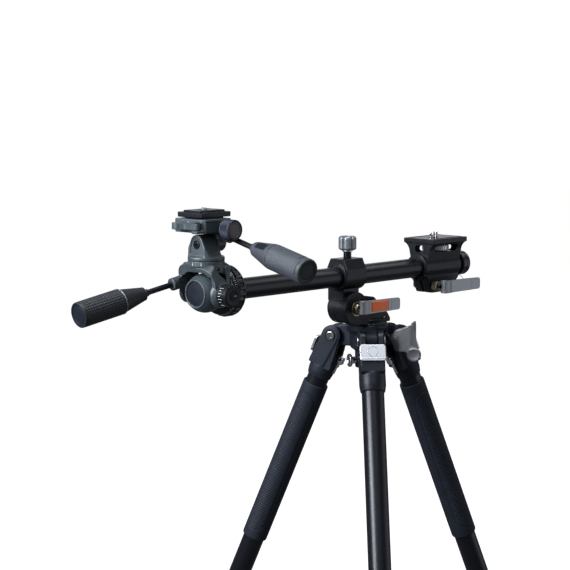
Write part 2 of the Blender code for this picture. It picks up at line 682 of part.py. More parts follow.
def build():
    model = pivot("mount", None, shift(-ORIGIN_X, -ORIGIN_Y, ARM_HEIGHT))
    spider(model)
    column_lock_knob(model)
    spider_lever(model)
    for name in LEG_AZIMUTH:
        leg(model, name)

    turntable = pivot("base_pan_axis", model, aim((TRIPOD_X, 0, 0)))
    base_foot(turntable)
    swing_bolt(turntable)
    swing_lever = pivot("swing_lever_pivot", turntable, shift(SWING_X - TRIPOD_X - 2, -30.5, SWING_Z + 3))
    cam_lever(swing_lever, "swing_lever", 66, insert=True)

    swing = pivot("arm_swing_axis", model, shift(SWING_X, 0, SWING_Z))
    arm_clamp(swing)
    clamp_knob(pivot("clamp_knob_axis", swing, shift(-SWING_X, 0, -SWING_Z)))
    arm_axis = pivot("arm_axis", swing, shift(-SWING_X, 0, -SWING_Z))
    bush = pivot("bush_axis", arm_axis, aim((0, 0, 0), EAST, BACK))
    collar_bush(bush)
    arm_tube(bush)
    end_ring(bush)
    head_base_ring(arm_axis)
    bracket_axis = pivot("bracket_axis", arm_axis, Matrix())
    bracket(bracket_axis)
    bracket_bolt(bracket_axis)
    bracket_screw(pivot("bracket_screw_axis", bracket_axis, shift(sum(PLATE_X) / 2, 0)))
    lever_place = shift(BRACKET_BOLT_X, -33.5, BRACKET_BOLT_Z)
    cam_lever(pivot("bracket_lever_pivot", bracket_axis, lever_place), "bracket_lever", 68)

    head_axis = pivot("head_pan_axis", arm_axis, Matrix())
    head_body(head_axis)
    tilt_axis = pivot("tilt_axis", head_axis, shift(TILT_X, 0))
    tilt_yoke(tilt_axis)
    tilt_dial(pivot("tilt_dial_axis", tilt_axis, aim((0, -YOKE_NEAR, 0), NEAR, EAST)))
    handle(pivot("left_handle_axis", tilt_axis, aim(*LEFT_HANDLE, UP)), "left")
    tower_axis = pivot("tower_axis", tilt_axis, shift(TOWER_X - TILT_X, 0))
    tower(tower_axis)
    side_axis = pivot("side_tilt_axis", tower_axis, shift(0, 0, SIDE_Z))
    qr_clamp(side_axis)
    handle(pivot("right_handle_axis", side_axis, aim(*RIGHT_HANDLE, UP)), "right")
    side_knob(pivot("side_knob_axis", side_axis, aim((3, -22, 17), NEAR, EAST)))
    plate_axis = pivot("plate_axis", side_axis, shift(*PLATE_CENTRE, -SIDE_Z))
    qr_plate(plate_axis)
    plate_screw(plate_axis)
    qr_lever(pivot("qr_lever_pivot", side_axis, shift(LEVER_EYE[0], LEVER_EYE[1], -SIDE_Z)))


clear_scene()
parts = collection("alt_azimuth_mount")
cutters = collection("cutters")
build()
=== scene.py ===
"""The looks of the alt-azimuth mount: a detailed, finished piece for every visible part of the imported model.

Lengths are in millimetres in the frame of the part that a piece belongs to. The helpers turn them into
metres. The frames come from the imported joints, so every piece follows the part it belongs to.
"""

import json
from math import atan, ceil, cos, dist, hypot, inf, pi, radians, sin, tan, tanh

import bmesh
import bpy
from mathutils import Matrix, Vector


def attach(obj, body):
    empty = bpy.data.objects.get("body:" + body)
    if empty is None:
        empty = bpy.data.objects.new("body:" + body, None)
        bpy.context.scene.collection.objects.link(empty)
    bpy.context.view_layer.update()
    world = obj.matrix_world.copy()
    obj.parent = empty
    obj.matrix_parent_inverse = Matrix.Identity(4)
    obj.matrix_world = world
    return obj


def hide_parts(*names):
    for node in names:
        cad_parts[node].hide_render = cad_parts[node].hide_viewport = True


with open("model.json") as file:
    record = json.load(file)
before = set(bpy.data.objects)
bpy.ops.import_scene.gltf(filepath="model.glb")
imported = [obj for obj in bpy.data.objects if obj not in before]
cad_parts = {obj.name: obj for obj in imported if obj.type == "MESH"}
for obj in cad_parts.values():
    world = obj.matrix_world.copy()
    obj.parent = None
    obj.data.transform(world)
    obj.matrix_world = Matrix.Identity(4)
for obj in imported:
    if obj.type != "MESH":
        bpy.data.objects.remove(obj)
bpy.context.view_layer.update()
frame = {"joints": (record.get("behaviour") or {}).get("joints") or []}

MM = 0.001
UP = Vector((0, 0, 1))
EAST = Vector((1, 0, 0))
BACK = Vector((0, 1, 0))
NEAR = -BACK
WEST = -EAST
# How many sides a turned shape has.
FINE = 96
MEDIUM = 48
SMALL = 32
# How the rounding and welding of shapes works: degrees, millimetres and a share of an edge.
NEARLY_STRAIGHT = 176
LEAST_ARC = 0.05
MOST_OF_EDGE = 0.48
ON_AXIS = 0.001
WELD = 0.004
SLIVER = 0.002
SMOOTH_BELOW = 40
RIM_ANGLE = 40
EDGE_ANGLE = 28
# How a finish is made: the size of its clouding, how far its gloss wanders and how strong its grain is.
CLOUD_SCALE = 60.0
GLOSS_SPREAD = 0.03
METAL_BUMP = 0.15
PLAIN_BUMP = 0.5
# Raised scale lines, in millimetres and as a share of a long line, and the shape of ribs.
LINE_THICK = 0.25
SHORT_LINE = 0.62
RIB_SQUARENESS = 3.0
JOINTS = {j["name"]: j for j in frame["joints"]}


# ---- frames

def pivot_of(joint):
    """A frame on a joint's point, square to the model."""
    return Matrix.Translation(Vector(JOINTS[joint]["pos_m"]))


def axis_of(joint):
    return Vector(JOINTS[joint]["axis"])


def aim(z_dir, x_hint):
    """A turn that puts Z along z_dir and X as near x_hint as that allows."""
    z = Vector(z_dir).normalized()
    x = Vector(x_hint)
    x = (x - z * x.dot(z)).normalized()
    return Matrix((x, z.cross(x), z)).transposed().to_4x4()


def along_joint(joint, x_hint):
    """A frame on a joint's point, with its Z along the joint's axis."""
    return pivot_of(joint) @ aim(axis_of(joint), x_hint)


def shift(x, y=0.0, z=0.0):
    return Matrix.Translation(Vector((x, y, z)) * MM)


def spin(degrees, axis="Z"):
    return Matrix.Rotation(radians(degrees), 4, axis)


TO_FRONT = aim(NEAR, EAST)
TO_BACK = aim(BACK, EAST)
TO_RIGHT = aim(EAST, BACK)


# ---- outlines

def rounded(points, radius, closed=True, steps=4):
    """An outline with its corners turned into arcs. A point's third number is its own radius."""
    made = []
    count = len(points)
    for i, point in enumerate(points):
        here = Vector(point[:2])
        if not closed and i in (0, count - 1):
            made.append(tuple(here))
            continue
        size = point[2] if len(point) > 2 else radius
        back = Vector(points[i - 1][:2]) - here
        on = Vector(points[(i + 1) % count][:2]) - here
        between = back.angle(on)
        if size < LEAST_ARC or between > radians(NEARLY_STRAIGHT):
            made.append(tuple(here))
            continue
        reach = min(size / tan(between / 2), MOST_OF_EDGE * min(back.length, on.length))
        size = reach * tan(between / 2)
        back.normalize()
        on.normalize()
        centre = here + (back + on).normalized() * size / sin(between / 2)
        first = here + back * reach - centre
        last = here + on * reach - centre
        sweep = pi - between
        for k in range(steps + 1):
            t = k / steps
            ray = first * sin((1 - t) * sweep) + last * sin(t * sweep)
            made.append(tuple(centre + ray / sin(sweep)))
    return made


def arc(centre, radius, start, end, points=12):
    """Points on an arc in a plane, from one angle in degrees to another."""
    angles = [radians(start + (end - start) * i / (points - 1)) for i in range(points)]
    return [(centre[0] + radius * cos(a), centre[1] + radius * sin(a)) for a in angles]


def dense(profile, step):
    """The same profile with no stretch between two points longer than step."""
    made = [profile[0]]
    for here, there in zip(profile, profile[1:]):
        length = dist(here, there)
        parts = max(1, ceil(length / step))
        made += [tuple(a + (b - a) * k / parts for a, b in zip(here, there)) for k in range(1, parts + 1)]
    return made


# ---- shapes

def new_shape(data, place):
    """An object in the scene from a mesh, a curve or a bmesh."""
    if isinstance(data, bmesh.types.BMesh):
        bm, data = data, bpy.data.meshes.new("shape")
        bm.to_mesh(data)
        bm.free()
    obj = bpy.data.objects.new("shape", data)
    bpy.context.scene.collection.objects.link(obj)
    obj.matrix_world = place
    return obj


def bmesh_of(mesh):
    bm = bmesh.new()
    bm.from_mesh(mesh)
    return bm


def lathe(place, profile, steps=FINE, ring=False, relief=None):
    """Turns (radius, height) points about the local Z axis. relief moves the surface in or out."""
    verts = []
    rings = []
    for r, z in profile:
        count = 1 if r < ON_AXIS else steps
        rings.append(range(len(verts), len(verts) + count))
        for k in range(count):
            a = 2 * pi * k / steps
            out = r + (relief(r, z, a) if relief and count > 1 else 0)
            verts.append((out * cos(a) * MM, out * sin(a) * MM, z * MM))
    faces = []
    pairs = list(zip(rings, rings[1:]))
    if ring:
        pairs.append((rings[-1], rings[0]))
    for upper, lower in pairs:
        for k in range(steps):
            n = (k + 1) % steps
            if len(upper) == 1 and len(lower) == 1:
                continue
            if len(upper) == 1:
                faces.append((upper[0], lower[k], lower[n]))
            elif len(lower) == 1:
                faces.append((upper[k], lower[0], upper[n]))
            else:
                faces.append((upper[k], lower[k], lower[n], upper[n]))
    mesh = bpy.data.meshes.new("turned")
    mesh.from_pydata(verts, [], faces)
    bm = bmesh_of(mesh)
    bpy.data.meshes.remove(mesh)
    bmesh.ops.recalc_face_normals(bm, faces=bm.faces)
    return new_shape(bm, place)


def turned(place, profile, radius, steps=FINE, corner=4):
    """A solid turned from an open profile with rounded corners."""
    return lathe(place, rounded(profile, radius, closed=False, steps=corner), steps)


def ringed(place, section, radius, steps=FINE):
    """A ring turned from a closed section with rounded corners."""
    return lathe(place, rounded(section, radius), steps, ring=True)


def rod(place, radius, low, high, steps=MEDIUM, bevel=0.0):
    profile = [(0, high), (radius, high), (radius, low), (0, low)]
    return lathe(place, rounded(profile, bevel, closed=False) if bevel else profile, steps)


def weld(bm):
    """Closes up points that are nearer than any real edge is long."""
    bmesh.ops.remove_doubles(bm, verts=bm.verts, dist=WELD * MM)
    bmesh.ops.dissolve_degenerate(bm, edges=bm.edges, dist=SLIVER * MM)


def soften_edges(bm, width, segments, angle=EDGE_ANGLE):
    edges = [e for e in bm.edges if len(e.link_faces) == 2 and e.calc_face_angle(0) > radians(angle)]
    if width and edges:
        bmesh.ops.bevel(bm, geom=edges, offset=width * MM, segments=segments, profile=0.5, affect="EDGES",
            clamp_overlap=True)
        weld(bm)


def slab(place, outline, low, high, bevel=0.0, segments=2):
    """A flat outline in the local XY plane, given thickness along local Z, with its rims rounded."""
    bm = bmesh.new()
    base, top = [[bm.verts.new((p[0] * MM, p[1] * MM, z * MM)) for p in outline] for z in (low, high)]
    bm.faces.new(base)
    bm.faces.new(top)
    for i in range(len(base)):
        n = (i + 1) % len(base)
        bm.faces.new((base[i], base[n], top[n], top[i]))
    bmesh.ops.recalc_face_normals(bm, faces=bm.faces)
    soften_edges(bm, bevel, segments, RIM_ANGLE)
    return new_shape(bm, place)


def box(place, size, centre=(0, 0, 0), bevel=0.0, segments=3):
    bm = bmesh.new()
    bmesh.ops.create_cube(bm, size=1.0)
    bmesh.ops.scale(bm, verts=bm.verts, vec=Vector(size) * MM)
    bmesh.ops.translate(bm, verts=bm.verts, vec=Vector(centre) * MM)
    soften_edges(bm, bevel, segments)
    return new_shape(bm, place)


def tube_on(place, points, radius, steps=16):
    """A round bar that follows points in the local frame."""
    curve = bpy.data.curves.new("bar", "CURVE")
    curve.dimensions = "3D"
    curve.bevel_depth = radius * MM
    curve.bevel_resolution = steps // 4
    curve.use_fill_caps = True
    spline = curve.splines.new("POLY")
    spline.points.add(len(points) - 1)
    for point, at in zip(spline.points, points):
        point.co = (*(Vector(at) * MM), 1)
    flat = new_shape(curve, place)
    evaluated = flat.evaluated_get(bpy.context.evaluated_depsgraph_get())
    mesh = bpy.data.meshes.new_from_object(evaluated)
    bpy.data.objects.remove(flat, do_unlink=True)
    bm = bmesh_of(mesh)
    bmesh.ops.remove_doubles(bm, verts=bm.verts, dist=0.001 * MM)
    bmesh.ops.recalc_face_normals(bm, faces=bm.faces)
    return new_shape(bm, place)


def settle(obj):
    """Turns a shape's modifiers into its mesh."""
    evaluated = obj.evaluated_get(bpy.context.evaluated_depsgraph_get())
    obj.data = bpy.data.meshes.new_from_object(evaluated)
    obj.modifiers.clear()
    bm = bmesh_of(obj.data)
    weld(bm)
    bm.to_mesh(obj.data)
    bm.free()
    return obj


def combine(target, operation, tools):
    for tool in tools:
        step = target.modifiers.new("combine", "BOOLEAN")
        step.operation = operation
        step.solver = "EXACT"
        step.object = tool
        settle(target)
        bpy.data.objects.remove(tool, do_unlink=True)
    return target


def join(target, *tools):
    return combine(target, "UNION", tools)


def cut(target, *tools):
    return combine(target, "DIFFERENCE", tools)


def keep(target, *tools):
    return combine(target, "INTERSECT", tools)


def eased(obj, width=0.35, angle=35, segments=2):
    """Rounds the sharp edges that are left after shapes are joined and cut."""
    bevel = obj.modifiers.new("eased", "BEVEL")
    bevel.width = width * MM
    bevel.segments = segments
    bevel.limit_method = "ANGLE"
    bevel.angle_limit = radians(angle)
    bevel.use_clamp_overlap = True
    bevel.harden_normals = False
    return settle(obj)


def cast(obj, grain=0.6, rounds=5):
    """Gives a joined shape the soft fillets of a casting."""
    skin = obj.modifiers.new("skin", "REMESH")
    skin.mode = "VOXEL"
    skin.voxel_size = grain * MM
    soft = obj.modifiers.new("soft", "SMOOTH")
    soft.factor = 0.5
    soft.iterations = rounds
    return settle(obj)


def piece(obj, name, body, look, replaces=()):
    """Makes a shape one of the object's own pieces: its name, its finish and the body it rides on."""
    obj.name = name
    obj.data.name = name
    obj.data.materials.clear()
    obj.data.materials.append(look)
    obj.data.shade_smooth()
    obj.data.set_sharp_from_angle(angle=radians(SMOOTH_BELOW))
    obj.modifiers.new("normals", "WEIGHTED_NORMAL").keep_sharp = True
    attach(obj, body)
    if replaces:
        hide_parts(*replaces)
    return obj


# ---- materials

class Graph:
    """A short way to write a material's nodes."""

    def __init__(self, name):
        self.material = bpy.data.materials.new(name)
        self.material.use_nodes = True
        self.tree = self.material.node_tree
        self.shader = self.tree.nodes["Principled BSDF"]

    def node(self, kind, inputs=None, **settings):
        made = self.tree.nodes.new("ShaderNode" + kind)
        for key, value in settings.items():
            setattr(made, key, value)
        for key, value in (inputs or {}).items():
            self.feed(made.inputs[key], value)
        return made

    def feed(self, socket, value):
        if isinstance(value, bpy.types.NodeSocket):
            self.tree.links.new(value, socket)
        else:
            socket.default_value = value

    def add(self, first, second):
        made = self.node("Math", operation="ADD")
        self.feed(made.inputs[0], first)
        self.feed(made.inputs[1], second)
        return made.outputs[0]

    def noise(self, scale, detail=3.0, stretch=(1, 1, 1)):
        where = self.node("TexCoord").outputs["Object"]
        spread = self.node("Mapping", {"Vector": where, "Scale": stretch})
        return self.node("TexNoise",
            {"Vector": spread.outputs[0], "Scale": scale, "Detail": detail}).outputs[0]

    def ranged(self, value, low, high):
        """A noise, which lies mostly between 0.3 and 0.7, spread from low to high."""
        span = {"From Min": 0.3, "From Max": 0.7, "To Min": low, "To Max": high}
        return self.node("MapRange", {"Value": value, **span}).outputs[0]

    def blend(self, factor, first, second):
        made = self.node("Mix", data_type="RGBA")
        self.feed(made.inputs[0], factor)
        self.feed(made.inputs[6], (*first, 1) if isinstance(first, tuple) else first)
        self.feed(made.inputs[7], (*second, 1) if isinstance(second, tuple) else second)
        return made.outputs[2]

    def bump(self, height, strength, distance):
        return self.node("Bump",
            {"Height": height, "Strength": strength, "Distance": distance * MM}).outputs[0]

    def uniform(self, **values):
        """Even values on the shader's own sockets."""
        for key, value in values.items():
            self.shader.inputs[key.replace("_", " ")].default_value = value


def coating(name, colour, roughness, metallic=0.0, grain=1500.0, depth=0.012, mottle=0.12, specular=0.5,
        stretch=(1, 1, 1), rough_span=0.06):
    """A painted, moulded or anodised finish: fine grain, faint clouding and uneven gloss."""
    g = Graph(name)
    cloud = g.noise(CLOUD_SCALE, 4.0)
    fine = g.noise(grain, 2.0, stretch)
    darker, lighter = (tuple(c * share for c in colour) for share in (1 - mottle, 1 + mottle))
    g.feed(g.shader.inputs["Base Color"], g.blend(g.ranged(cloud, 0, 1), darker, lighter))
    uneven = g.ranged(cloud, -rough_span, rough_span)
    gloss = g.add(uneven, g.ranged(fine, roughness - GLOSS_SPREAD, roughness + GLOSS_SPREAD))
    g.feed(g.shader.inputs["Roughness"], gloss)
    g.feed(g.shader.inputs["Normal"], g.bump(fine, METAL_BUMP if metallic > 0.9 else PLAIN_BUMP, depth))
    g.uniform(Metallic=metallic, Specular_IOR_Level=specular)
    return g.material


BLACK = coating("black_anodised", (0.008, 0.009, 0.013), 0.36, 0.4, specular=0.45, rough_span=0.02)
TUBE_BLACK = coating("tube_black", (0.007, 0.008, 0.012), 0.30, 0.35, specular=0.5, stretch=(1, 1, 0.05),
    depth=0.003, mottle=0.06, rough_span=0.012)
GLOSS_BLACK = coating("gloss_black", (0.012, 0.013, 0.018), 0.28, 0.2, specular=0.55, depth=0.006)
CASTING = coating("casting", (0.009, 0.012, 0.021), 0.52, grain=1100, depth=0.03, specular=0.25)
HEAD_GREY = coating("head_grey", (0.052, 0.066, 0.074), 0.40, 0.15, grain=1300, depth=0.02, mottle=0.08)
HEAD_DARK = coating("head_dark", (0.008, 0.011, 0.018), 0.5, grain=1300, depth=0.02, specular=0.15)
SILVER = coating("silver", (0.30, 0.31, 0.335), 0.40, 0.9, grain=2500, depth=0.003,
    mottle=0.03, rough_span=0.02)
BRIGHT = coating("bright_silver", (0.66, 0.67, 0.70), 0.24, 0.97, grain=2500, depth=0.001,
    mottle=0.03, rough_span=0.02)
KNOB_SILVER = coating("knob_silver", (0.27, 0.29, 0.31), 0.46, 0.8, grain=2500, depth=0.004,
    mottle=0.04, rough_span=0.02)
CHROME = coating("chrome", (0.70, 0.67, 0.64), 0.14, 1.0, grain=500, depth=0.003, mottle=0.04)
BRASS = coating("brass", (0.30, 0.26, 0.17), 0.34, 1.0, grain=900, depth=0.01, mottle=0.15)
ORANGE = coating("orange", (0.80, 0.13, 0.012), 0.36, 0.1, grain=1200, depth=0.008, mottle=0.06)
LEG_GLOSS = coating("leg_gloss", (0.009, 0.011, 0.018), 0.36, 0.1, grain=1100, depth=0.012, specular=0.35)
BASE_BLACK = coating("base_black", (0.006, 0.007, 0.010), 0.42, 0.1, specular=0.25)
RUBBER = coating("rubber", (0.010, 0.013, 0.021), 0.66, grain=900, depth=0.05, specular=0.25)
NYLON = coating("nylon", (0.02, 0.02, 0.022), 0.5, grain=900, depth=0.02)
GRIP_BLACK = coating("grip_black", (0.016, 0.018, 0.022), 0.5, grain=1200, depth=0.02, specular=0.4)
GRIP_GREY = coating("grip_grey", (0.042, 0.048, 0.058), 0.5, grain=1200, depth=0.025, specular=0.4)
ROD_BLACK = coating("rod_black", (0.006, 0.006, 0.008), 0.3, 0.1, specular=0.5)
MARK = coating("white_mark", (0.62, 0.63, 0.64), 0.55, grain=800, depth=0.005, mottle=0.04)
KNOB_FACE = coating("knob_face", (0.075, 0.066, 0.068), 0.42, 0.5, grain=1300, depth=0.01)
KNOB_BLUE = coating("knob_blue", (0.012, 0.016, 0.028), 0.45, grain=1300, depth=0.02, specular=0.4)


# ---- places

ARM = pivot_of("clamp_knob_turn")
SWING = pivot_of("arm_swing")
TRIPOD = pivot_of("base_pan")
TILT = pivot_of("head_tilt")
TOWER = pivot_of("tower_pan")
SIDE = pivot_of("side_tilt")
PLATE = pivot_of("plate_screw_turn")
LEFT_SEAT = along_joint("left_handle_twist", UP)
RIGHT_SEAT = along_joint("right_handle_twist", UP)
HEADWARD = ARM @ aim(WEST, UP)
TUBEWARD = ARM @ TO_RIGHT
TURNTABLE = TILT @ shift((TOWER.translation - TILT.translation).x / MM)


# ---- details that several parts share

def wave(a, count):
    """A rounded square wave round a circle, from 0 in its valleys to 1 on its lands."""
    return 0.5 + 0.5 * tanh(RIB_SQUARENESS * sin(count * a)) / tanh(RIB_SQUARENESS)


def ribbed(depth, count, beyond, low=-inf, high=inf):
    """Ribs on the surface beyond one radius and between two heights."""
    return lambda r, z, a: -depth * (1 - wave(a, count)) if r > beyond and low < z < high else 0


def threads(radius, depth, top, pitch, count):
    return [(radius - depth * (k % 2), top - pitch * k) for k in range(count)]


def hex_head(place, radius, height, name, body, look=CHROME):
    """A socket screw's head: a rounded disc with a hexagonal well."""
    head = turned(place, [(0, height), (radius, height), (radius, 0), (0, 0)], radius * 0.16, MEDIUM)
    hexagon = arc((0, 0), radius * 0.5, 0, 300, 6)
    cut(head, slab(place, hexagon, height * 0.35, height + 1))
    piece(head, name, body, look)


def marks(place, angles, radius, low, high, width, name, body, long_every=1, slope=0.0):
    """Raised scale lines on a turned surface, which run along its axis."""
    bm = bmesh.new()
    for i, degrees in enumerate(angles):
        end = high if i % long_every == 0 else low + (high - low) * SHORT_LINE
        middle = (low + end) / 2
        turn = spin(degrees) @ shift(radius + slope * (middle - low), 0, middle)
        turn = turn @ Matrix.Rotation(atan(slope), 4, "Y")
        size = Matrix.Diagonal((LINE_THICK * MM, width * MM, (end - low) * MM, 1))
        bmesh.ops.create_cube(bm, size=1.0, matrix=turn @ size)
    piece(new_shape(bm, place), name, body, MARK)


def merged(shapes):
    """Several shapes that don't touch, as one."""
    first = shapes[0]
    bm = bmesh.new()
    for shape in shapes:
        mesh = shape.data.copy()
        mesh.transform(first.matrix_world.inverted() @ shape.matrix_world)
        bm.from_mesh(mesh)
        bpy.data.meshes.remove(mesh)
    bm.to_mesh(first.data)
    bm.free()
    for shape in shapes[1:]:
        bpy.data.objects.remove(shape, do_unlink=True)
    return first


# ---- head: ring, barrel and scale

def head_ring():
    """The lobed ring on the end of the arm that the head turns on."""
    lobes = 26
    edge = [(29.6, 218.6), (30.5, 217.6), (30.5, 217.0), (30.5, 211.2), (30.5, 210.6), (29.8, 209.6)]
    profile = [(0, 224), (9.7, 224), (9.7, 219), (26, 219), (28.4, 219)] + dense(edge, 0.8)
    profile += [(28.6, 208.6), (27.8, 208.3), (12.3, 208.3), (10.7, 208.3), (10.7, 192), (0, 192)]
    ring = lathe(HEADWARD, profile, lobes * 12, relief=ribbed(1.5, lobes, 30, 210.0, 217.7))
    piece(ring, "head_base_ring_turned", "arm", GLOSS_BLACK, ["head_base_ring"])
    lip = ringed(HEADWARD, [(29.2, 210.2), (30.3, 209.9), (30.1, 208.9), (28.9, 209.0)], 0.3)
    piece(lip, "head_base_ring_lip", "arm", HEAD_GREY)


def head_barrel():
    """The head's barrel: a rounded drum on a neck, with a dark cap in its end."""
    centre = 246.0
    belly = arc((0, centre), 23, 42, -42, 21)
    profile = [(0, 260.6), (14.6, 260.6), (14.8, 262.2), (15.4, 262.6), (16.8, 262.4)] + belly
    profile += [(19.6, 229), (20.2, 226.4), (20.2, 219.3), (0, 219.3)]
    barrel = lathe(HEADWARD, profile)
    slit = box(ARM, (8, 7, 1.1), (-262, 19, 0.5))
    cut(barrel, slit, rod(HEADWARD, 2.2, 214, 240, SMALL))
    piece(eased(barrel, 0.25, 50), "head_barrel", "head", HEAD_GREY, ["head_body"])
    cap = turned(HEADWARD,
        [(0, 262.0), (7, 261.9), (13.6, 261.2), (14.2, 260.9), (14.2, 259.9), (0, 259.9)], 0.3)
    piece(cap, "head_barrel_cap", "head", HEAD_DARK)
    axle = rod(TILT @ TO_FRONT, 5, -29.4, 29.4)
    piece(axle, "head_trunnion", "head", CHROME)


def head_scale():
    """The pan scale behind the barrel: a speckled ring with a line every five degrees."""
    profile = rounded([(20.4, 219.4), (28.7, 219.4), (28.8, 220.2), (27.2, 225.8), (26.4, 226.2),
        (20.4, 226.2)], 0.35)
    ring = lathe(HEADWARD, profile, ring=True)
    piece(ring, "pan_scale_ring", "head", GLOSS_BLACK)
    marks(HEADWARD, [5 * k for k in range(72)], 28.75, 220.4, 225.0, 0.32, "pan_scale_lines", "head",
        3, slope=-0.29)


def tilt_dial():
    """The drag dial on the tilt axis: white lines round its side and a small dark cap in its face."""
    place = along_joint("tilt_dial_turn", EAST)
    profile = rounded([(0, 14.5), (5.9, 14.5, 0), (6.3, 15.0, 0.3), (11.4, 15.2, 0.8), (13, 14.2, 0.8),
        (13, 0.4, 0.4), (3, 0.4), (3, -1.3), (0, -1.3)], 0.3, closed=False)
    dial = lathe(place, profile)
    piece(dial, "tilt_dial_turned", "tilt_dial", BASE_BLACK, ["tilt_dial"])
    cap = turned(place, [(0, 15.2), (4.6, 15.1, 0.6), (5.5, 14.4, 0.4), (5.5, 13.9), (0, 13.9)], 0.3, MEDIUM)
    piece(cap, "tilt_dial_cap", "tilt_dial", HEAD_DARK)
    pointer = box(place, (3.0, 0.9, 0.3), (3.2, 0, 15.15))
    piece(pointer, "tilt_dial_pointer", "tilt_dial", MARK)
    lines = [180 + 15 * k for k in range(-3, 3)]
    marks(place, lines, 12.95, 3.0, 8.6, 0.42, "tilt_dial_lines", "tilt_dial", 2)
    marks(place, [232, 236, 244], 12.95, 3.5, 8.0, 0.36, "tilt_dial_figures", "tilt_dial")


# ---- head: yoke, tower and side tilt

def near_side(swell):
    """The near leg's outer curve, swell away from the barrel but inside the leg's own slope."""
    points = [(-24.3 - swell, -6), (-24.3 - swell, 10)] + arc((-9.3, 10), 15 + swell, 176, 92, 14)
    points.append((0, 25 + swell))
    made = []
    for x, z in points:
        slope = -31 + max(0.0, z - 8) * 0.3
        made.append((max(x, slope), min(z, 36.8)))
    return made


def yoke_arch():
    """The bare arch: its near leg steps back from a bright rim in front to the pocket behind it."""
    across = TILT @ TO_RIGHT
    outer = [(-4, 36.5, 0), (16, 36.5, 3)] + arc((15, 19), 15, 76, 0, 8) + [(30, 4, 1), (29.4, -6, 2)]
    inner = [(24.3, -6, 1)] + arc((9.3, 10), 15, 0, 90, 8) + [(-4, 25, 0)]
    layers = [slab(across, rounded(outer + inner, 0), -19, 19)]
    under = list(reversed([(-24.3, -6)] + arc((-9.3, 10), 15, 180, 90, 10) + [(0.2, 25)]))
    for k in range(8):
        outline = near_side(4.6 + 0.95 * k) + under
        layers.append(slab(across, outline, -19 + 1.5 * k, 19 - 0.1 * k))
    arch = cast(merged(layers), 0.6, 5)
    sides = [(-18.5, 40, 0), (-18.5, 33, 6), (-13.0, 17, 16), (-11.5, -8, 3), (11.5, -8, 3), (12.2, 17, 16),
        (18.5, 33, 6), (18.5, 40, 0)]
    return keep(arch, slab(TILT @ TO_FRONT, rounded(sides, 0, steps=8), -40, 40))


def tilt_yoke():
    """The arch over the barrel, with its bearing bosses, its turntable flange and the handle's sleeve."""
    near = TILT @ TO_FRONT
    far = TILT @ TO_BACK
    boss = [(0, 31.4), (12.4, 31.4, 1.0), (15.4, 27.0, 4), (15.6, 23), (0, 23)]
    near_boss = turned(near, boss, 0.2, corner=6)
    far_boss = turned(far, [(0, 31), (13.5, 31, 2.5), (13.5, 23), (0, 23)], 0.2)
    flange = turned(TURNTABLE, [(0, 37.8), (21.5, 37.8, 0.6), (21.5, 31.5, 2), (15, 29), (0, 29)], 0.3)
    sleeve = turned(LEFT_SEAT,
        [(0, 16), (7.5, 16, 0.8), (7.5, 4), (8.4, -4), (8.4, -12), (0, -12)], 0.4, MEDIUM)
    pocket = [(-8.0, 40, 0), (9.0, 40, 0), (10.2, 14.5, 1), (7.0, 13.6, 2), (-6.5, 29, 4)]
    recess = slab(near, rounded(pocket, 0), 22.4, 40)
    arch = join(yoke_arch(), near_boss, far_boss, sleeve)
    arch = cast(cut(arch, recess), 0.5, 6)
    space = turned(near, [(0, 24.3), (25.4, 24.3), (25.4, -24.3), (0, -24.3)], 1.5)
    keepout = lathe(TILT @ TO_RIGHT, [(0, 19), (24.0, 19), (24.0, -24), (0, -24)])
    join(arch, flange)
    holes = rod(near, 5.3, -29.7, 29.8), rod(near, 3.4, 20, 40, SMALL), rod(LEFT_SEAT, 3.7, 1.8, 20, SMALL)
    cut(arch, space, keepout, *holes)
    piece(arch, "tilt_yoke_arch", "yoke", HEAD_GREY, ["tilt_yoke"])
    hex_head(near @ shift(-2.6, 29.0, 22.2), 3.6, 3.0, "yoke_pinch_screw", "yoke", ROD_BLACK)


def turntable_marks():
    marks(TURNTABLE, [150, 180, 210], 21.45, 33.0, 36.6, 0.7, "turntable_index", "yoke")


def tower():
    """The tower on the turntable: a round foot that flares into a fin, with a screw in its end."""
    foot = turned(TOWER,
        [(0, 43.4), (20.2, 43.4, 1.2), (21.5, 42.0, 0.6), (21.5, 38.1, 0.5), (0, 38.1)], 0.2)
    across = TOWER @ TO_RIGHT
    side_z = (SIDE.translation - TOWER.translation).z / MM
    outline = [(-18.6, 42, 0), (-17.4, 46, 3)] + arc((0, side_z), 10.4, 158, 22, 16)
    outline += [(17.4, 46, 3), (18.6, 42, 0)]
    fin = slab(across, rounded(outline, 0, steps=5), -16, 8, 1.3, segments=4)
    keep(fin, lathe(TOWER, [(0, 75), (20.8, 75), (20.8, 48), (21.3, 38.5), (0, 38.5)]))
    pin = rod(SIDE @ TO_RIGHT, 4, 0, 21)
    cast(join(foot, fin), 0.6, 6)
    join(foot, pin)
    face = [(-11.2, 46.2, 3)] + arc((0, side_z), 8.0, 156, 24, 16) + [(11.2, 46.2, 3)]
    well = rod(across @ shift(0, side_z - 1.5), 5.4, -20, -13.2)
    cut(foot, slab(across, rounded(face, 0, steps=5), -17, -15.2), well)
    piece(eased(foot, 0.35, 42), "tower_fin", "tower", HEAD_GREY, ["tower"])
    hex_head(across @ shift(0, side_z - 1.5, -13.3) @ spin(180, "X"), 4.3, 2.4, "tower_screw", "tower",
        ROD_BLACK)


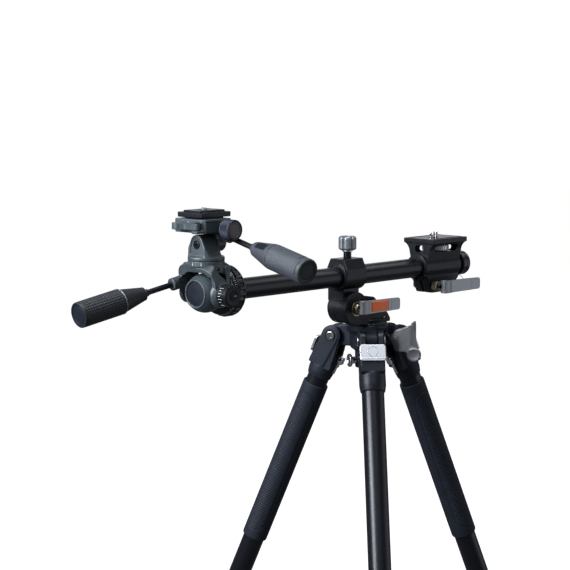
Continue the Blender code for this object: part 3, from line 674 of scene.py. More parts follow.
def platform():
    """The quick-release platform: a deck with a knuckle below it and the right handle's socket."""
    low, high = 13.0, 29.0
    outline = [(-24.5, -17.5, 1), (-21, -22, 1), (19.5, -22, 1.5), (19.5, 27, 3), (-24.5, 27, 2)]
    deck = slab(SIDE, rounded(outline, 1.0), low, high, 0.9, segments=3)
    across = SIDE @ TO_RIGHT
    lobe = arc((0, 0), 11, 180, 360, 24) + [(13, 6, 3), (17, low + 2, 2), (-17, low + 2, 2), (-13, 6, 3)]
    knuckle = slab(across, rounded(lobe, 0, steps=5), 8.5, 22.5)
    boss = turned(RIGHT_SEAT, [(0, 13), (6.5, 13, 0.8), (7.4, 2, 2), (7.4, -8), (0, -8)], 0.3, MEDIUM)
    seat = box(SIDE, (16, 9, 3.5), (-26, -15.5, low + 1.75), 0.8)
    eye = rod(pivot_of("qr_lever_open"), 1.8, 72, 82.9, SMALL)
    join(cast(join(deck, knuckle, boss, seat), 0.6, 5), eye)
    middle = (PLATE.translation - SIDE.translation) / MM
    well = box(SIDE, (36, 32, 8), (middle.x, middle.y, high), 0.6)
    pin_hole = rod(across, 4.3, 0, 21.5)
    socket = rod(RIGHT_SEAT, 3.7, 1.8, 20, SMALL)
    groove = box(SIDE, (60, 1.2, 1.0), (0, -22, high - 3.4))
    cut(deck, well, pin_hole, socket, groove)
    piece(eased(deck, 0.4, 42), "platform_deck", "platform", HEAD_GREY, ["qr_clamp"])
    index = box(SIDE, (0.25, 0.8, 3.2), (-24.55, 4, high - 4.5))
    piece(index, "platform_index", "platform", MARK)


def quick_plate():
    """The quick-release plate: a bevelled black plate with a raised pad and its dovetail foot."""
    plate = box(PLATE, (47, 40, 6), (0, 0, 91.5), 0.9)
    foot = slab(PLATE @ TO_BACK, [(-17.5, -83.5), (17.5, -83.5), (15.6, -88.8), (-15.6, -88.8)],
        -15.4, 15.4, 0.3)
    pad = box(PLATE, (40, 28, 2.4), (0, 0, 95.3), 0.9)
    join(plate, foot, pad)
    recess = box(PLATE, (15, 7, 4), (0, 0, 97.6), 1.2)
    cut(plate, rod(PLATE, 3.6, 80, 100, SMALL), rod(PLATE, 9, 80, 87.5), recess)
    grooves = [box(PLATE, (39, 0.8, 0.9), (0, -11.5 + 2.3 * k, 96.6)) for k in (0, 1, 2, 8, 9, 10)]
    cut(plate, merged(grooves))
    piece(eased(plate, 0.3, 42), "quick_plate", "plate", BLACK, ["qr_plate"])


def plate_screw():
    place = pivot_of("plate_screw_turn")
    thread = threads(3.1, 0.28, 98.2, 0.4, 12)
    screw = lathe(place,
        [(0, 98.9), (2.5, 98.9)] + thread + [(3.1, 87), (8.5, 87), (8.5, 83.8), (0, 83.8)], MEDIUM)
    cut(screw, box(place, (7, 1.0, 2.2), (0, 0, 99)), box(place, (18, 1.6, 2.4), (0, 0, 83.6)))
    piece(screw, "plate_screw_threaded", "plate_screw", KNOB_SILVER, ["plate_screw"])


def qr_lever():
    """The quick-release lever: an eye, a bowed arm and a thick rounded head with a lip."""
    place = pivot_of("qr_lever_open")
    outline = arc((0, 0), 4, 196, 338, 12) + [(3.0, 8, 3), (2.2, 16, 5), (2.9, 33, 3), (-2, 35.4, 2)]
    outline += arc((-3.2, 28), 7, 96, 236, 14) + [(-3.2, 17, 5), (-3.9, 7, 4)]
    arm = slab(place, rounded(outline, 0.5), 75.2, 83, 1.1, segments=4)
    cut(arm, rod(place, 2.1, 70, 90, SMALL), box(place, (7, 16, 3), (-3.6, 11, 84), 1.0))
    piece(eased(arm, 0.3, 42), "quick_lever", "qr_lever", HEAD_GREY, ["qr_lever"])
    cap = rod(place, 3.0, 83.1, 84.2, SMALL, 0.4)
    piece(cap, "quick_lever_cap", "qr_lever", HEAD_DARK)


def side_knob():
    """The finely ribbed knob that locks the side tilt, with a turned disc in its face."""
    place = along_joint("side_knob_turn", EAST)
    ribs = 72
    profile = [(0, 20.8), (10.2, 20.8), (10.4, 22.6), (10.9, 23.0)]
    profile += dense([(11.5, 22.7), (12.0, 21.8), (12.0, 20.6), (12.0, 9.4), (12.0, 8.6), (11.3, 7.6)], 2.0)
    profile += [(4.6, 7.5), (4.5, 0.4), (0, 0.4)]

    def relief(r, z, a):
        return -0.32 * (0.5 + 0.5 * cos(ribs * a)) if 9 < z < 21 and r > 11.9 else 0

    knob = lathe(place, profile, ribs * 6, relief=relief)
    piece(knob, "side_knob_grip", "side_knob", KNOB_BLUE, ["side_knob"])
    disc = turned(place, [(0, 22.2), (7.2, 22.2), (7.5, 21.9), (7.9, 21.9), (8.2, 22.3), (9.8, 22.3, 0.4),
        (10.2, 21.4), (10.2, 20.9), (0, 20.9)], 0.15)
    piece(disc, "side_knob_disc", "side_knob", KNOB_FACE)


# ---- handles

GRIP_START = 89.0
GRIP_END = 147.0
GRIP_R = 15.0
KNURLS = 30
KNURL_PITCH = 3.4
PEBBLES = 58
PEBBLE_PITCH = 1.8


def diamond(a, z, around, pitch):
    """Crossed spiral grooves, which leave small diamond-shaped pads."""
    turn = pi * z / pitch
    return sin(around * a / 2 + turn) * sin(around * a / 2 - turn)


def handle_rod(side, place):
    shank = turned(place,
        [(0, 86), (3.3, 86, 0.5), (3.3, 52), (3.3, 30), (3.3, 2.4, 0.4), (0, 2.4)], 0.1, MEDIUM)
    piece(shank, f"{side}_handle_shank", f"{side}_handle", ROD_BLACK, [f"{side}_handle_rod"])
    nut = ringed(place, [(3.4, 54.6), (4.3, 54.0), (4.3, 50.4), (3.4, 50.0)], 0.3, SMALL)
    piece(nut, f"{side}_handle_locknut", f"{side}_handle", GLOSS_BLACK)


def left_grip():
    place = LEFT_SEAT
    body = dense([(GRIP_R, GRIP_END - 3.0), (GRIP_R, GRIP_START + 2.0)], 0.62)

    def relief(r, z, a):
        inside = GRIP_START + 3.0 < z < GRIP_END - 4.0
        return 0.42 * max(-0.6, -diamond(a, z, KNURLS, KNURL_PITCH)) - 0.2 if inside else 0

    profile = [(0, 145.4), (13.2, 145.4), (13.4, 147.0), (14.2, 147.0), (14.9, 146.2)] + body
    profile += [(14.6, 90.4), (14.2, 89.6), (14.2, 89.0)]
    profile += rounded([(14.2, 88.9), (13.6, 86.0, 3), (8.0, 57.2, 1.5), (8.0, 56), (3.6, 56)],
        1.0, closed=False)
    profile += [(3.6, 87), (0, 87)]
    grip = lathe(place, profile, 240, relief=relief)
    piece(grip, "left_grip_knurled", "left_handle", GRIP_BLACK, ["left_handle_grip"])
    band = ringed(place, [(13.6, 90.2), (15.1, 90.2), (15.1, 89.0), (13.6, 89.0)], 0.3)
    piece(band, "left_grip_band", "left_handle", KNOB_SILVER)
    cap = turned(place, [(0, 146.2), (9.6, 146.2), (10.0, 145.9), (10.6, 145.9), (11, 146.2), (13.0, 146.4),
        (13.3, 145.5), (0, 145.5)], 0.2)
    piece(cap, "left_grip_cap", "left_handle", HEAD_DARK)


def right_grip():
    """The slate grip: a pebbled upper panel inside a groove, a smooth underside and a dark cap."""
    place = RIGHT_SEAT
    edge = radians(104)

    def relief(r, z, a):
        turn = abs((a + pi) % (2 * pi) - pi)
        last = 137.5 if turn < radians(28) else 141.5
        if not GRIP_START + 1.5 < z < last + 0.8:
            return 0
        inside = min(GRIP_R * (edge - turn), z - GRIP_START - 2.5, last - z)
        if -0.9 < inside < 0.2:
            return -0.55
        return 0.22 * diamond(a, z, PEBBLES, PEBBLE_PITCH) if inside >= 0.2 else 0

    body = dense([(GRIP_R, GRIP_END - 1.6), (GRIP_R, GRIP_START + 0.5)], 0.45)
    profile = [(0, 145.6), (12.8, 145.6), (13.0, 147.0), (14.0, 147.0), (14.7, 146.4)] + body
    profile += rounded([(GRIP_R, 89.2), (14.6, 86.0, 4), (8.6, 58, 2), (7.6, 56), (3.6, 56)], 1.5,
        closed=False, steps=8)
    profile += [(3.6, 87), (0, 87)]
    grip = lathe(place, profile, 360, relief=relief)
    piece(grip, "right_grip_panelled", "right_handle", GRIP_GREY, ["right_handle_grip"])
    cap = turned(place, [(0, 146.0), (8.4, 146.0), (8.8, 145.7), (9.4, 145.7), (9.8, 146.0), (12.6, 146.3),
        (12.9, 145.7), (0, 145.7)], 0.2)
    piece(cap, "right_grip_cap", "right_handle", GRIP_BLACK)
    outline = rounded([(6, 3.5), (20, 6.5), (20, -2.5), (6, -5.5)], 1.2)
    patch = slab(place @ spin(38) @ aim(UP, EAST), outline, 64, 84)
    keep(patch, lathe(place, [(0, 90), (15.2, 90), (15.2, 89.2), (14.78, 86.0), (8.78, 58), (0, 58)]))
    piece(patch, "right_grip_patch", "right_handle", HEAD_DARK)


def build_head():
    head_ring()
    head_barrel()
    head_scale()
    tilt_yoke()
    tilt_dial()
    turntable_marks()
    tower()
    platform()
    quick_plate()
    plate_screw()
    qr_lever()
    side_knob()
    for side, place in (("left", LEFT_SEAT), ("right", RIGHT_SEAT)):
        handle_rod(side, place)
    left_grip()
    right_grip()


build_head()


# ---- arm, clamp and swing joint

def arm():
    tube = ringed(TUBEWARD, [(12.5, 224), (12.5, -208), (11.0, -208), (11.0, 224)], 0.3)
    piece(tube, "arm_tube_drawn", "arm", TUBE_BLACK, ["arm_tube"])
    end = rounded([(0, 227), (10.8, 227), (11.6, 228), (15.2, 228, 1.0), (16, 226.6, 0.8), (16, 214.6, 0.6),
        (15.2, 214, 0.4), (12.8, 214), (12.8, 224.3), (0, 224.3)], 0.3, closed=False)
    ring = lathe(TUBEWARD, end)
    cut(ring, lathe(TUBEWARD, [(17, 221.4), (15.5, 221.4), (15.5, 220.6), (17, 220.6)], ring=True))
    piece(ring, "arm_end_ring_turned", "arm", GLOSS_BLACK, ["arm_end_ring"])
    bush = ringed(TUBEWARD, [(14.2, 17), (14.2, -20), (12.8, -20), (12.8, 17)], 0.4)
    piece(bush, "collar_bush_split", "bush", NYLON, ["collar_bush"])


def arm_clamp():
    """The collar round the arm with its flat roof, the neck below it and the drum of the swing joint."""
    back = SWING @ aim(BACK, UP)
    collar = turned(TUBEWARD, [(0, 18), (17.5, 18, 1.0), (17.5, -21, 1.0), (0, -21)], 0.2)
    roof_outline = [(-17.5, 0, 0), (17.5, 0, 0), (17.5, 10, 5), (11.5, 22.5, 1.2),
        (-11.5, 22.5, 1.2), (-17.5, 10, 5)]
    roof = slab(TUBEWARD, rounded(roof_outline, 1.0, steps=6), -19, 16, 0.8, segments=3)
    neck = box(SWING, (30, 26.5, 18), (0, 4.65, 18), 1.6, 4)
    drum = turned(back, [(0, 18), (15.5, 18, 3), (19.5, 14, 3), (19.5, 3.6, 0.3), (19.0, 3.2, 0.2),
        (19.0, 2.4, 0.2), (19.5, 2.0, 0.3), (19.5, -8.5, 0.5), (0, -8.5)], 0.4, corner=5)
    join(collar, roof, neck, drum)
    bore = rod(TUBEWARD, 14.5, -30, 30, FINE)
    cut(collar, bore, rod(ARM, 5.6, 10, 30, SMALL), rod(back, 4.3, -30, 30, SMALL))
    piece(eased(collar, 0.4, 42, 3), "arm_clamp_machined", "clamp", BLACK, ["arm_clamp"])
    marks(back, [90, 105, 120, 135, 150], 19.5, 5.0, 13.0, 0.6, "swing_scale", "clamp", 2)
    cap = turned(back, [(0, 18.6), (6.5, 18.6), (7.2, 18.0), (7.2, 17.4), (0, 17.4)], 0.3)
    cut(cap, rod(back, 4.6, 10, 30, SMALL))
    piece(cap, "swing_washer", "clamp", KNOB_SILVER)


def clamp_knob():
    """The arm's clamp knob: six deep flutes under a bevelled top, on a black threaded stem."""
    place = along_joint("clamp_knob_turn", EAST)
    lobes = 6
    groove = radians(14)

    def relief(r, z, a):
        if z < 31.5 or r < 6:
            return 0
        depth = 0.5 + 0.5 * cos(lobes * (a - groove))
        return -2.6 * depth ** 6 * min(1.0, (50.5 - z) / 2.0)

    profile = [(0, 49.2), (5.2, 49.2), (5.6, 50), (8.6, 50), (10.2, 49.4)]
    profile += dense([(11.0, 48.4), (11.5, 47.2), (11.5, 35.2), (11.1, 34.0), (9.6, 32.8), (8.0, 32.4)], 1.2)
    profile += [(0, 32.4)]
    knob = lathe(place, profile, 240, relief=relief)
    piece(knob, "clamp_knob_fluted", "clamp_knob", KNOB_SILVER, ["clamp_knob"])
    washer = turned(place, [(0, 32.5), (6.4, 32.5), (6.4, 30.6), (5.3, 30.2), (0, 30.2)], 0.35, MEDIUM)
    piece(washer, "clamp_knob_washer", "clamp_knob", BRIGHT)
    thread = threads(5.2, 0.35, 29.8, 0.5, 26)
    stem = lathe(place, [(0, 30.3), (4.8, 30.3)] + thread + [(4.6, 16.2), (0, 16.2)], MEDIUM)
    piece(stem, "clamp_knob_stem", "clamp_knob", ROD_BLACK)


def base():
    """The turning base: a round foot, a rib and the ear that carries the swing bolt."""
    foot = turned(TRIPOD, [(0, -56), (24.2, -56, 0.8), (25, -57, 0.5), (25, -62.6, 0.5), (0, -62.6)], 0.4)
    edge_on = ARM @ TO_FRONT
    swing_z = (SWING.translation - ARM.translation).z / MM
    swing_x = (SWING.translation - ARM.translation).x / MM
    gusset = [(62.0, -57.5, 0), (55, -49, 3), (38, -38, 4), (24, -38, 2), (24, -57.5, 0)]
    rib = slab(edge_on, rounded(gusset, 1.0), -10, 10, 1.4, segments=3)
    swing = SWING @ TO_FRONT
    join(foot, rib)
    cut(foot, rod(swing, 20.7, -30, 8.8, FINE))
    outline = [(62.2, -57, 1.2), (57, -49.5, 4), (31, -27.5, 6)]
    outline += arc((swing_x, swing_z), 21, 48, 266, 28) + [(30, -61.3, 1), (62.2, -61.3, 1)]
    ear = slab(edge_on, rounded(outline, 0, steps=6), 8.9, 18, 1.3, segments=4)
    join(foot, ear)
    cut(foot, rod(swing, 4.3, -30, 30, SMALL), rod(swing, 9.6, 17.2, 22, MEDIUM))
    piece(eased(foot, 0.35, 42), "base_machined", "base", BASE_BLACK, ["base_foot"])
    marks(TRIPOD, [5 * k for k in range(72)], 24.95, -62.3, -60.2, 0.35, "pan_scale_base",
        "base", 6)
    arrow = slab(edge_on @ shift(50, -55.5), [(-1.5, 1.2), (1.5, 1.2), (0, -1.6)], 17.95, 18.15)
    piece(arrow, "base_index", "base", MARK)
    step = ringed(swing, [(9.2, 18.4), (9.2, 17.3), (7.4, 17.3), (7.4, 18.4)], 0.25)
    piece(step, "swing_seat_ring", "base", BRASS)


def swing_bolt():
    place = SWING @ TO_FRONT
    head = turned(place, [(0, 22.6), (3.6, 24), (5.6, 23.6, 1.2), (7.0, 21.6, 1.0), (7.0, 18.5), (4, 18.4),
        (4, -18.4), (9, -18.4, 0.3), (8.6, -20.4, 0.8), (3.4, -20.5, 0.2), (3.0, -19.6, 0.2),
        (0, -19.6)], 0.3)
    piece(head, "swing_bolt_turned", "base", BRASS, ["swing_bolt"])
    link = tube_on(ARM, [(-4, -24.2, -38.5), (-4, -27.5, -38.5)], 2.6, 24)
    piece(link, "swing_lever_link", "base", ROD_BLACK)


# ---- cam levers

def cam_lever(joint, name, body, length, node, insert):
    """A cam lever: a round slotted cam, then a long bowed plate with a stepped, rounded tip."""
    place = pivot_of(joint)
    half = 8.2
    outline = arc((0, 0), 6, 24, 232, 24)
    outline += [(1.4, -5.6, 3), (9, -4.0, 5), (length * 0.42, -3.4, 20), (length * 0.73, -4.3, 3),
        (length * 0.75, -3.2, 1), (length - 2, -4.3, 2), (length, -3.8, 0.6)]
    outline += [(length, -2.2, 0.6), (length - 2, -2.4, 2), (length * 0.74, -1.2, 2),
        (length * 0.42, -0.9, 20), (10, -0.6, 5), (6.4, 0.2, 2)]
    lever = slab(place, rounded(outline, 0, steps=6), -half, half, 0.35)
    shape = [(-7, -half, 1.5), (length, -half + 0.6, 4.8), (length, half - 0.6, 4.8), (-7, half, 1.5)]
    keep(lever, slab(place @ TO_FRONT, rounded(shape, 1.0, steps=8), -8, 10))
    cuts = [box(place, (14, 10, 4.6), (-2.5, 5.5, 0), 0.8)]
    if insert:
        cuts.append(box(place, (33.0, 20, 12.4), (27, -1, 0), 1.0))
    cut(lever, *cuts)
    piece(eased(lever, 0.45, 40, 3), f"{name}_plate", body, SILVER, [node])
    pin = rod(place, 1.9, -half - 0.05, half + 0.05, SMALL, 0.3)
    piece(pin, f"{name}_pin", body, CHROME)
    if insert:
        rise = [(11.2, -1.2, 0.6), (11.2, -4.9, 1.6), (27, -5.7, 30), (42.8, -5.1, 1.6), (42.8, -1.2, 0.6)]
        pad = slab(place, rounded(rise, 0.6, steps=5), -6.0, 6.0, 0.7, segments=3)
        piece(pad, f"{name}_pad", body, ORANGE, [insert])


# ---- accessory bracket

def bracket():
    """The accessory plate on its open, waisted neck, the sleeve on the arm and the two pinch ears below."""
    low_x, high_x = 138.0, 208.0
    middle = (low_x + high_x) / 2
    sleeve = turned(TUBEWARD, [(0, 206), (17.2, 206, 0.9), (17.2, 134, 0.9), (0, 134)], 0.2)
    neck = [(-13, 5, 0)] + arc((-30.5, 18.5), 14, 5, 64, 12) + [(-24.4, 33, 0), (24.4, 33, 0)]
    neck += arc((30.5, 18.5), 14, 116, 175, 12) + [(13, 5, 0)]
    throat = slab(TUBEWARD, [p[:2] for p in neck], 140, 206)
    waist = [(140, 4, 0), (140, 33, 0), (206, 33, 0), (206, 4, 0)]
    keep(throat, slab(ARM @ TO_FRONT, rounded(waist, 0), -30, 30))
    plate = box(ARM, (70, 50, 6.3), (middle, 0, 34.35), 0.9)
    ears_outline = [(134.6, -2, 0), (150.5, -33.6, 2.2), (187, -33.6, 3), (205.4, -16, 3), (205.4, -2, 0)]
    ears = slab(ARM @ TO_FRONT, rounded(ears_outline, 1.0), -13.5, 13.5, 1.2, segments=3)
    join(sleeve, throat, plate, ears)
    windows = [box(ARM, size, (middle, 0, 24), 4.2, 6) for size in ((46, 80, 9), (120, 15, 9))]
    oval = [(middle - 15, -3.3), (middle - 5, -3.3), (middle - 5, 3.3), (middle - 15, 3.3)]
    slot = slab(ARM, rounded(oval, 3.2, steps=8), 25, 50)
    cut(sleeve, *windows, slot)
    cut(sleeve, rod(TUBEWARD, 12.8, 100, 240, FINE), box(ARM, (120, 3, 50), (middle, 0, -30)),
        rod(along_joint("bracket_screw_turn", EAST), 3.7, 25, 50, SMALL))
    bolt_line = pivot_of("bracket_lever_open") @ TO_FRONT
    cut(sleeve, rod(bolt_line, 3.3, -60, 30, SMALL), rod(bolt_line, 7.2, -20.6, -18, MEDIUM))
    piece(eased(sleeve, 0.45, 42, 3), "bracket_machined", "bracket", BLACK, ["bracket"])
    pads = [box(ARM, (58, 1.1, 0.5), (middle, y, 37.55), 0.15, 1) for y in (-21.5, -18.5, 18.5, 21.5)]
    piece(merged(pads), "bracket_plate_ribs", "bracket", RUBBER)
    pin = turned(ARM @ shift(middle - 10, 0), [(0, 43.8), (1.7, 43.8, 0.8), (1.7, 30), (0, 30)], 0.1, SMALL)
    piece(pin, "bracket_pin", "bracket", CHROME)


def bracket_screw():
    place = along_joint("bracket_screw_turn", EAST)
    ribs = 34
    profile = [(0, 28), (15.4, 28), (16.6, 27.8)]
    profile += dense([(17.3, 27.0), (17.5, 26.4), (17.5, 21.8), (17.3, 21.2), (16.6, 20.4)], 1.2)
    profile += [(15, 20.2), (0, 20.2)]
    wheel = lathe(place, profile, ribs * 8, relief=ribbed(1.7, ribs, 17.2))
    piece(wheel, "bracket_wheel", "bracket_screw", BRIGHT, ["bracket_screw"])
    thread = threads(3.1, 0.3, 44.0, 0.45, 16)
    stud = lathe(place, [(0, 44.8), (2.4, 44.8)] + thread + [(3.1, 36.6), (3.1, 27.9), (0, 27.9)], MEDIUM)
    cut(stud, box(place, (8, 0.9, 1.6), (0, 0, 45)))
    piece(stud, "bracket_stud", "bracket_screw", CHROME)


def bracket_bolt():
    place = pivot_of("bracket_lever_open") @ shift(0, 33.5) @ TO_FRONT
    ribs = 24
    profile = [(0, 22.8), (4.6, 22.8), (5.4, 22.4)]
    profile += dense([(6, 21.8), (6, 14.8), (5.5, 14.0)], 1.4) + [(0, 14.0)]
    nut = lathe(place, profile, ribs * 8, relief=ribbed(0.4, ribs, 5.9))
    piece(nut, "bracket_nut", "bracket", BRASS, ["bracket_bolt"])
    turns = 4
    coil = [(x, y, 22.9 + 3.6 * k / 96) for k, (x, y) in enumerate(arc((0, 0), 2.9, 0, 360 * turns, 97))]
    piece(tube_on(place, coil, 0.55, 8), "bracket_spring", "bracket", ROD_BLACK)
    piece(rod(place, 2.2, -13.6, 27, SMALL), "bracket_bolt_shank", "bracket", CHROME)
    hex_head(place @ shift(0, 0, -13.7) @ spin(180, "X"), 5.4, 3.2, "bracket_bolt_head", "bracket")


def bracket_wire():
    """The thin spring wire that hangs behind the lever, from the sleeve's end."""
    line = [(208, -10, -13.5), (212, -11.5, -16), (216.5, -13, -20.5), (219, -14, -25.5),
        (215.5, -14.5, -28.5)]
    smooth = []
    for a, b, c in zip(line, line[1:], line[2:]):
        for k in range(6):
            t = k / 6
            first = Vector(a).lerp(Vector(b), 0.5 + t / 2)
            last = Vector(b).lerp(Vector(c), t / 2)
            smooth.append(first.lerp(last, t))
    wire = tube_on(ARM, [(204, -9.5, -13)] + smooth, 0.45, 8)
    piece(wire, "bracket_wire", "bracket", CHROME)


def build_arm():
    arm()
    arm_clamp()
    clamp_knob()
    base()
    swing_bolt()
    cam_lever("swing_lever_open", "swing_lever", "swing_lever", 66, "swing_lever", "lever_insert")
    bracket()
    bracket_screw()
    bracket_bolt()
    bracket_wire()
    cam_lever("bracket_lever_open", "bracket_lever", "bracket_lever", 68, "bracket_lever", None)


build_arm()


# ---- tripod

LEGS = ("front", "right", "left")
GRIPPED = ("right", "left")


def leg_frame(name):
    """A leg's own frame: its origin on the fold pivot, X outward and Z up along the leg."""
    return pivot_of(f"{name}_leg_fold") @ aim(-axis_of(f"{name}_middle_extend"),
        axis_of(f"{name}_stop_pull"))


def outward_of(joint):
    """The level direction from the tripod's axis to a joint."""
    away = pivot_of(joint).translation - TRIPOD.translation
    return Vector((away.x, away.y, 0)).normalized()


def spider():
    """The tripod's crown: a ribbed hub with three rounded lugs and the stub that carries the lever."""
    hub = turned(TRIPOD, [(0, -63), (24.8, -63, 0.6), (26, -64.6, 0.8), (26, -71, 1.5), (21.4, -76, 3),
        (21, -94, 1), (15.4, -98, 2), (15, -119.4, 1), (0, -119.4)], 0.4)
    lever_out = outward_of("spider_lever_swing")
    stub_line = TRIPOD @ shift(0, 0, -80) @ aim(lever_out, UP)
    stub = turned(stub_line,
        [(0, 29.9), (4, 29.9, 0.6), (4, 26.6), (7, 26.2, 1), (7, 15), (0, 15)], 0.3, MEDIUM)
    join(hub, stub)
    outward = [outward_of(f"{name}_leg_fold") for name in LEGS]
    planes = [TRIPOD @ aim(-UP.cross(out), out) for out in outward]
    outline = [(12, -93, 0), (12, -65, 0), (30, -65.4, 8)] + arc((44, -80), 10, 84, -90, 14) + [(30, -93, 8)]
    for plane in planes:
        join(hub, slab(plane, rounded(outline, 0, steps=5), -8, 8, 1.0, segments=3))
    cast(hub, 0.8, 4)
    for plane in planes:
        cut(hub, rod(plane @ shift(44, -80), 3.4, -20, 20, SMALL))
    for z in (-78.5, -81.5, -84.5, -87.5, -90.5):
        cut(hub, lathe(TRIPOD, [(22, z), (20.4, z), (20.4, z - 1.1), (22, z - 1.1)], ring=True))
    piece(hub, "spider_crown", "spider", CASTING, ["spider_casting"])
    lip = ringed(TRIPOD, [(25.2, -65.2), (26.2, -65.8), (26.2, -66.8), (25.2, -67.2)], 0.3)
    piece(lip, "spider_lip", "spider", GLOSS_BLACK)
    hook = turned(TRIPOD, [(0, -119.6), (11.5, -119.6), (12.5, -120.0), (0, -120.0)], 0.2)
    piece(hook, "column_end_disc", "spider", KNOB_SILVER)


def column_lock():
    ribs = 30
    rim = dense([(8.3, 24.4), (8.5, 23.8), (8.5, 22.2), (8.0, 21.4)], 0.8)
    profile = [(0, 24.2), (5.4, 24.2), (6.0, 25.0), (7.4, 25.0)] + rim
    profile += [(6.4, 20.8), (4.6, 20.4), (4.6, 15.4), (0, 15.4)]
    knob = lathe(along_joint("column_lock_turn", UP), profile, ribs * 8, relief=ribbed(0.25, ribs, 8.4))
    piece(knob, "column_lock_knob_turned", "column_lock_knob", BRIGHT, ["column_lock_knob"])


def spider_lever():
    """The bright saddle lever beside the crown, with its upright tab, its washers and the disc knob."""
    place = pivot_of("spider_lever_swing") @ aim(axis_of("spider_lever_swing"),
        outward_of("spider_lever_swing"))
    upper = [(3, 9.0, 2), (10, 10.6, 6), (19, 14.5, 8), (22, 17.0, 1), (26.6, 17.0, 1.2), (26.8, -4, 8),
        (30.6, -18, 5), (27, -24, 4), (21, -21, 4), (17, -15.6, 6), (11, -16.6, 6), (3, -15, 3)]
    saddle = slab(place, rounded(upper + arc((0, 0), 4, 250, 110, 8), 0, steps=8), -12, 12)
    cheek = [(-6, -10, 3), (10, -12.2, 8), (22, -12.2, 8), (32, -9, 6), (32, 9, 6), (22, 12.2, 8),
        (10, 12.2, 8), (-6, 10, 3)]
    plan = place @ TO_BACK
    keep(saddle, slab(plan, rounded(cheek, 0, steps=8), -30, 30))
    mouth = box(place, (9, 12, 17), (-1.5, 0, 0), 1.5)
    gap = [(20, -4.5), (8, -4.5, 3), (8, 4.5, 3), (20, 4.5)]
    notch = slab(place @ TO_RIGHT, rounded(gap, 0), 20.0, 24.6)
    piece(eased(cut(saddle, mouth, notch), 0.9, 40, 3), "spider_lever_saddle", "spider_lever", BRIGHT,
        ["spider_lever"])
    tab = box(place, (3.0, 14, 20), (25.2, 13.2, 0), 1.2, 4)
    piece(tab, "spider_lever_tab", "spider_lever", SILVER)
    stack = turned(place @ TO_RIGHT, [(0, 6.4), (5.2, 6.4), (5.2, 5.0), (4.2, 4.8), (4.2, 4.0), (6.0, 3.8),
        (6.0, 2.2), (4.4, 2.0), (4.4, -1.5), (0, -1.5)], 0.25, MEDIUM)
    piece(stack, "spider_lever_washers", "spider_lever", CHROME)
    knob_at = along_joint("spider_disc_turn", EAST)
    disc = turned(knob_at, [(0, 16.6), (4.0, 16.9), (7.4, 17.5, 0.8), (9, 16.4, 0.8), (9, 13.2, 1),
        (7.4, 12.5), (0, 12.5)], 0.4)
    piece(disc, "spider_disc_turned", "spider_disc_knob", SILVER, ["spider_disc_knob"])


def leg_yoke(name, place):
    """The forked casting at the top of a leg: rounded cheeks with raised panels, and the tube's socket."""
    bottom = -60.0 if name in GRIPPED else -66.0
    side_on = place @ TO_FRONT
    cheek = arc((0, 0), 13, 172, 8, 20) + [(13.6, -12, 8), (15.4, -26, 6), (16, -44, 2), (-16, -44, 2),
        (-15.4, -26, 6), (-13.6, -12, 8)]
    fork = slab(side_on, rounded(cheek, 0, steps=5), -15, 15)
    profile = [(0, -36), (13, -36), (16.7, -43, 8), (16.7, bottom + 8, 6), (15.3, bottom, 1), (0, bottom)]
    collar = turned(place, profile, 0.6, corner=6)
    panel = arc((0, 0), 10.6, 180, 0, 16) + [(9.6, -14, 20), (5.8, -44, 6), (-5.8, -44, 6), (-9.6, -14, 20)]
    ridge = slab(side_on, rounded(panel, 0, steps=6), -16.2, 16.2)
    join(fork, collar, ridge)
    cast(fork, 0.75, 4)
    cut(fork, box(place, (44, 16.6, 50), (0, 0, 1), 1.0), rod(place, 14.3, bottom - 5, -36, FINE),
        rod(side_on, 3.4, -20, 20, SMALL), rod(side_on, 7.0, 15.0, 18, MEDIUM),
        rod(side_on, 7.0, -18, -15.0, MEDIUM))
    look = CASTING if name in GRIPPED else LEG_GLOSS
    piece(fork, f"{name}_yoke_cast", f"{name}_leg", look, [f"{name}_yoke"])


def pivot_bolt(name, place):
    near = place @ aim(NEAR, UP)
    shank = rod(near, 3.0, -15.2, 15.2, SMALL)
    hex_head(near @ shift(0, 0, 15.1), 5.6, 2.6, f"{name}_bolt_near", f"{name}_leg")
    hex_head(near @ spin(180, "X") @ shift(0, 0, 15.1), 5.6, 2.6, f"{name}_bolt_far", f"{name}_leg")
    piece(shank, f"{name}_bolt_shank", f"{name}_leg", CHROME, [f"{name}_pivot_bolt"])


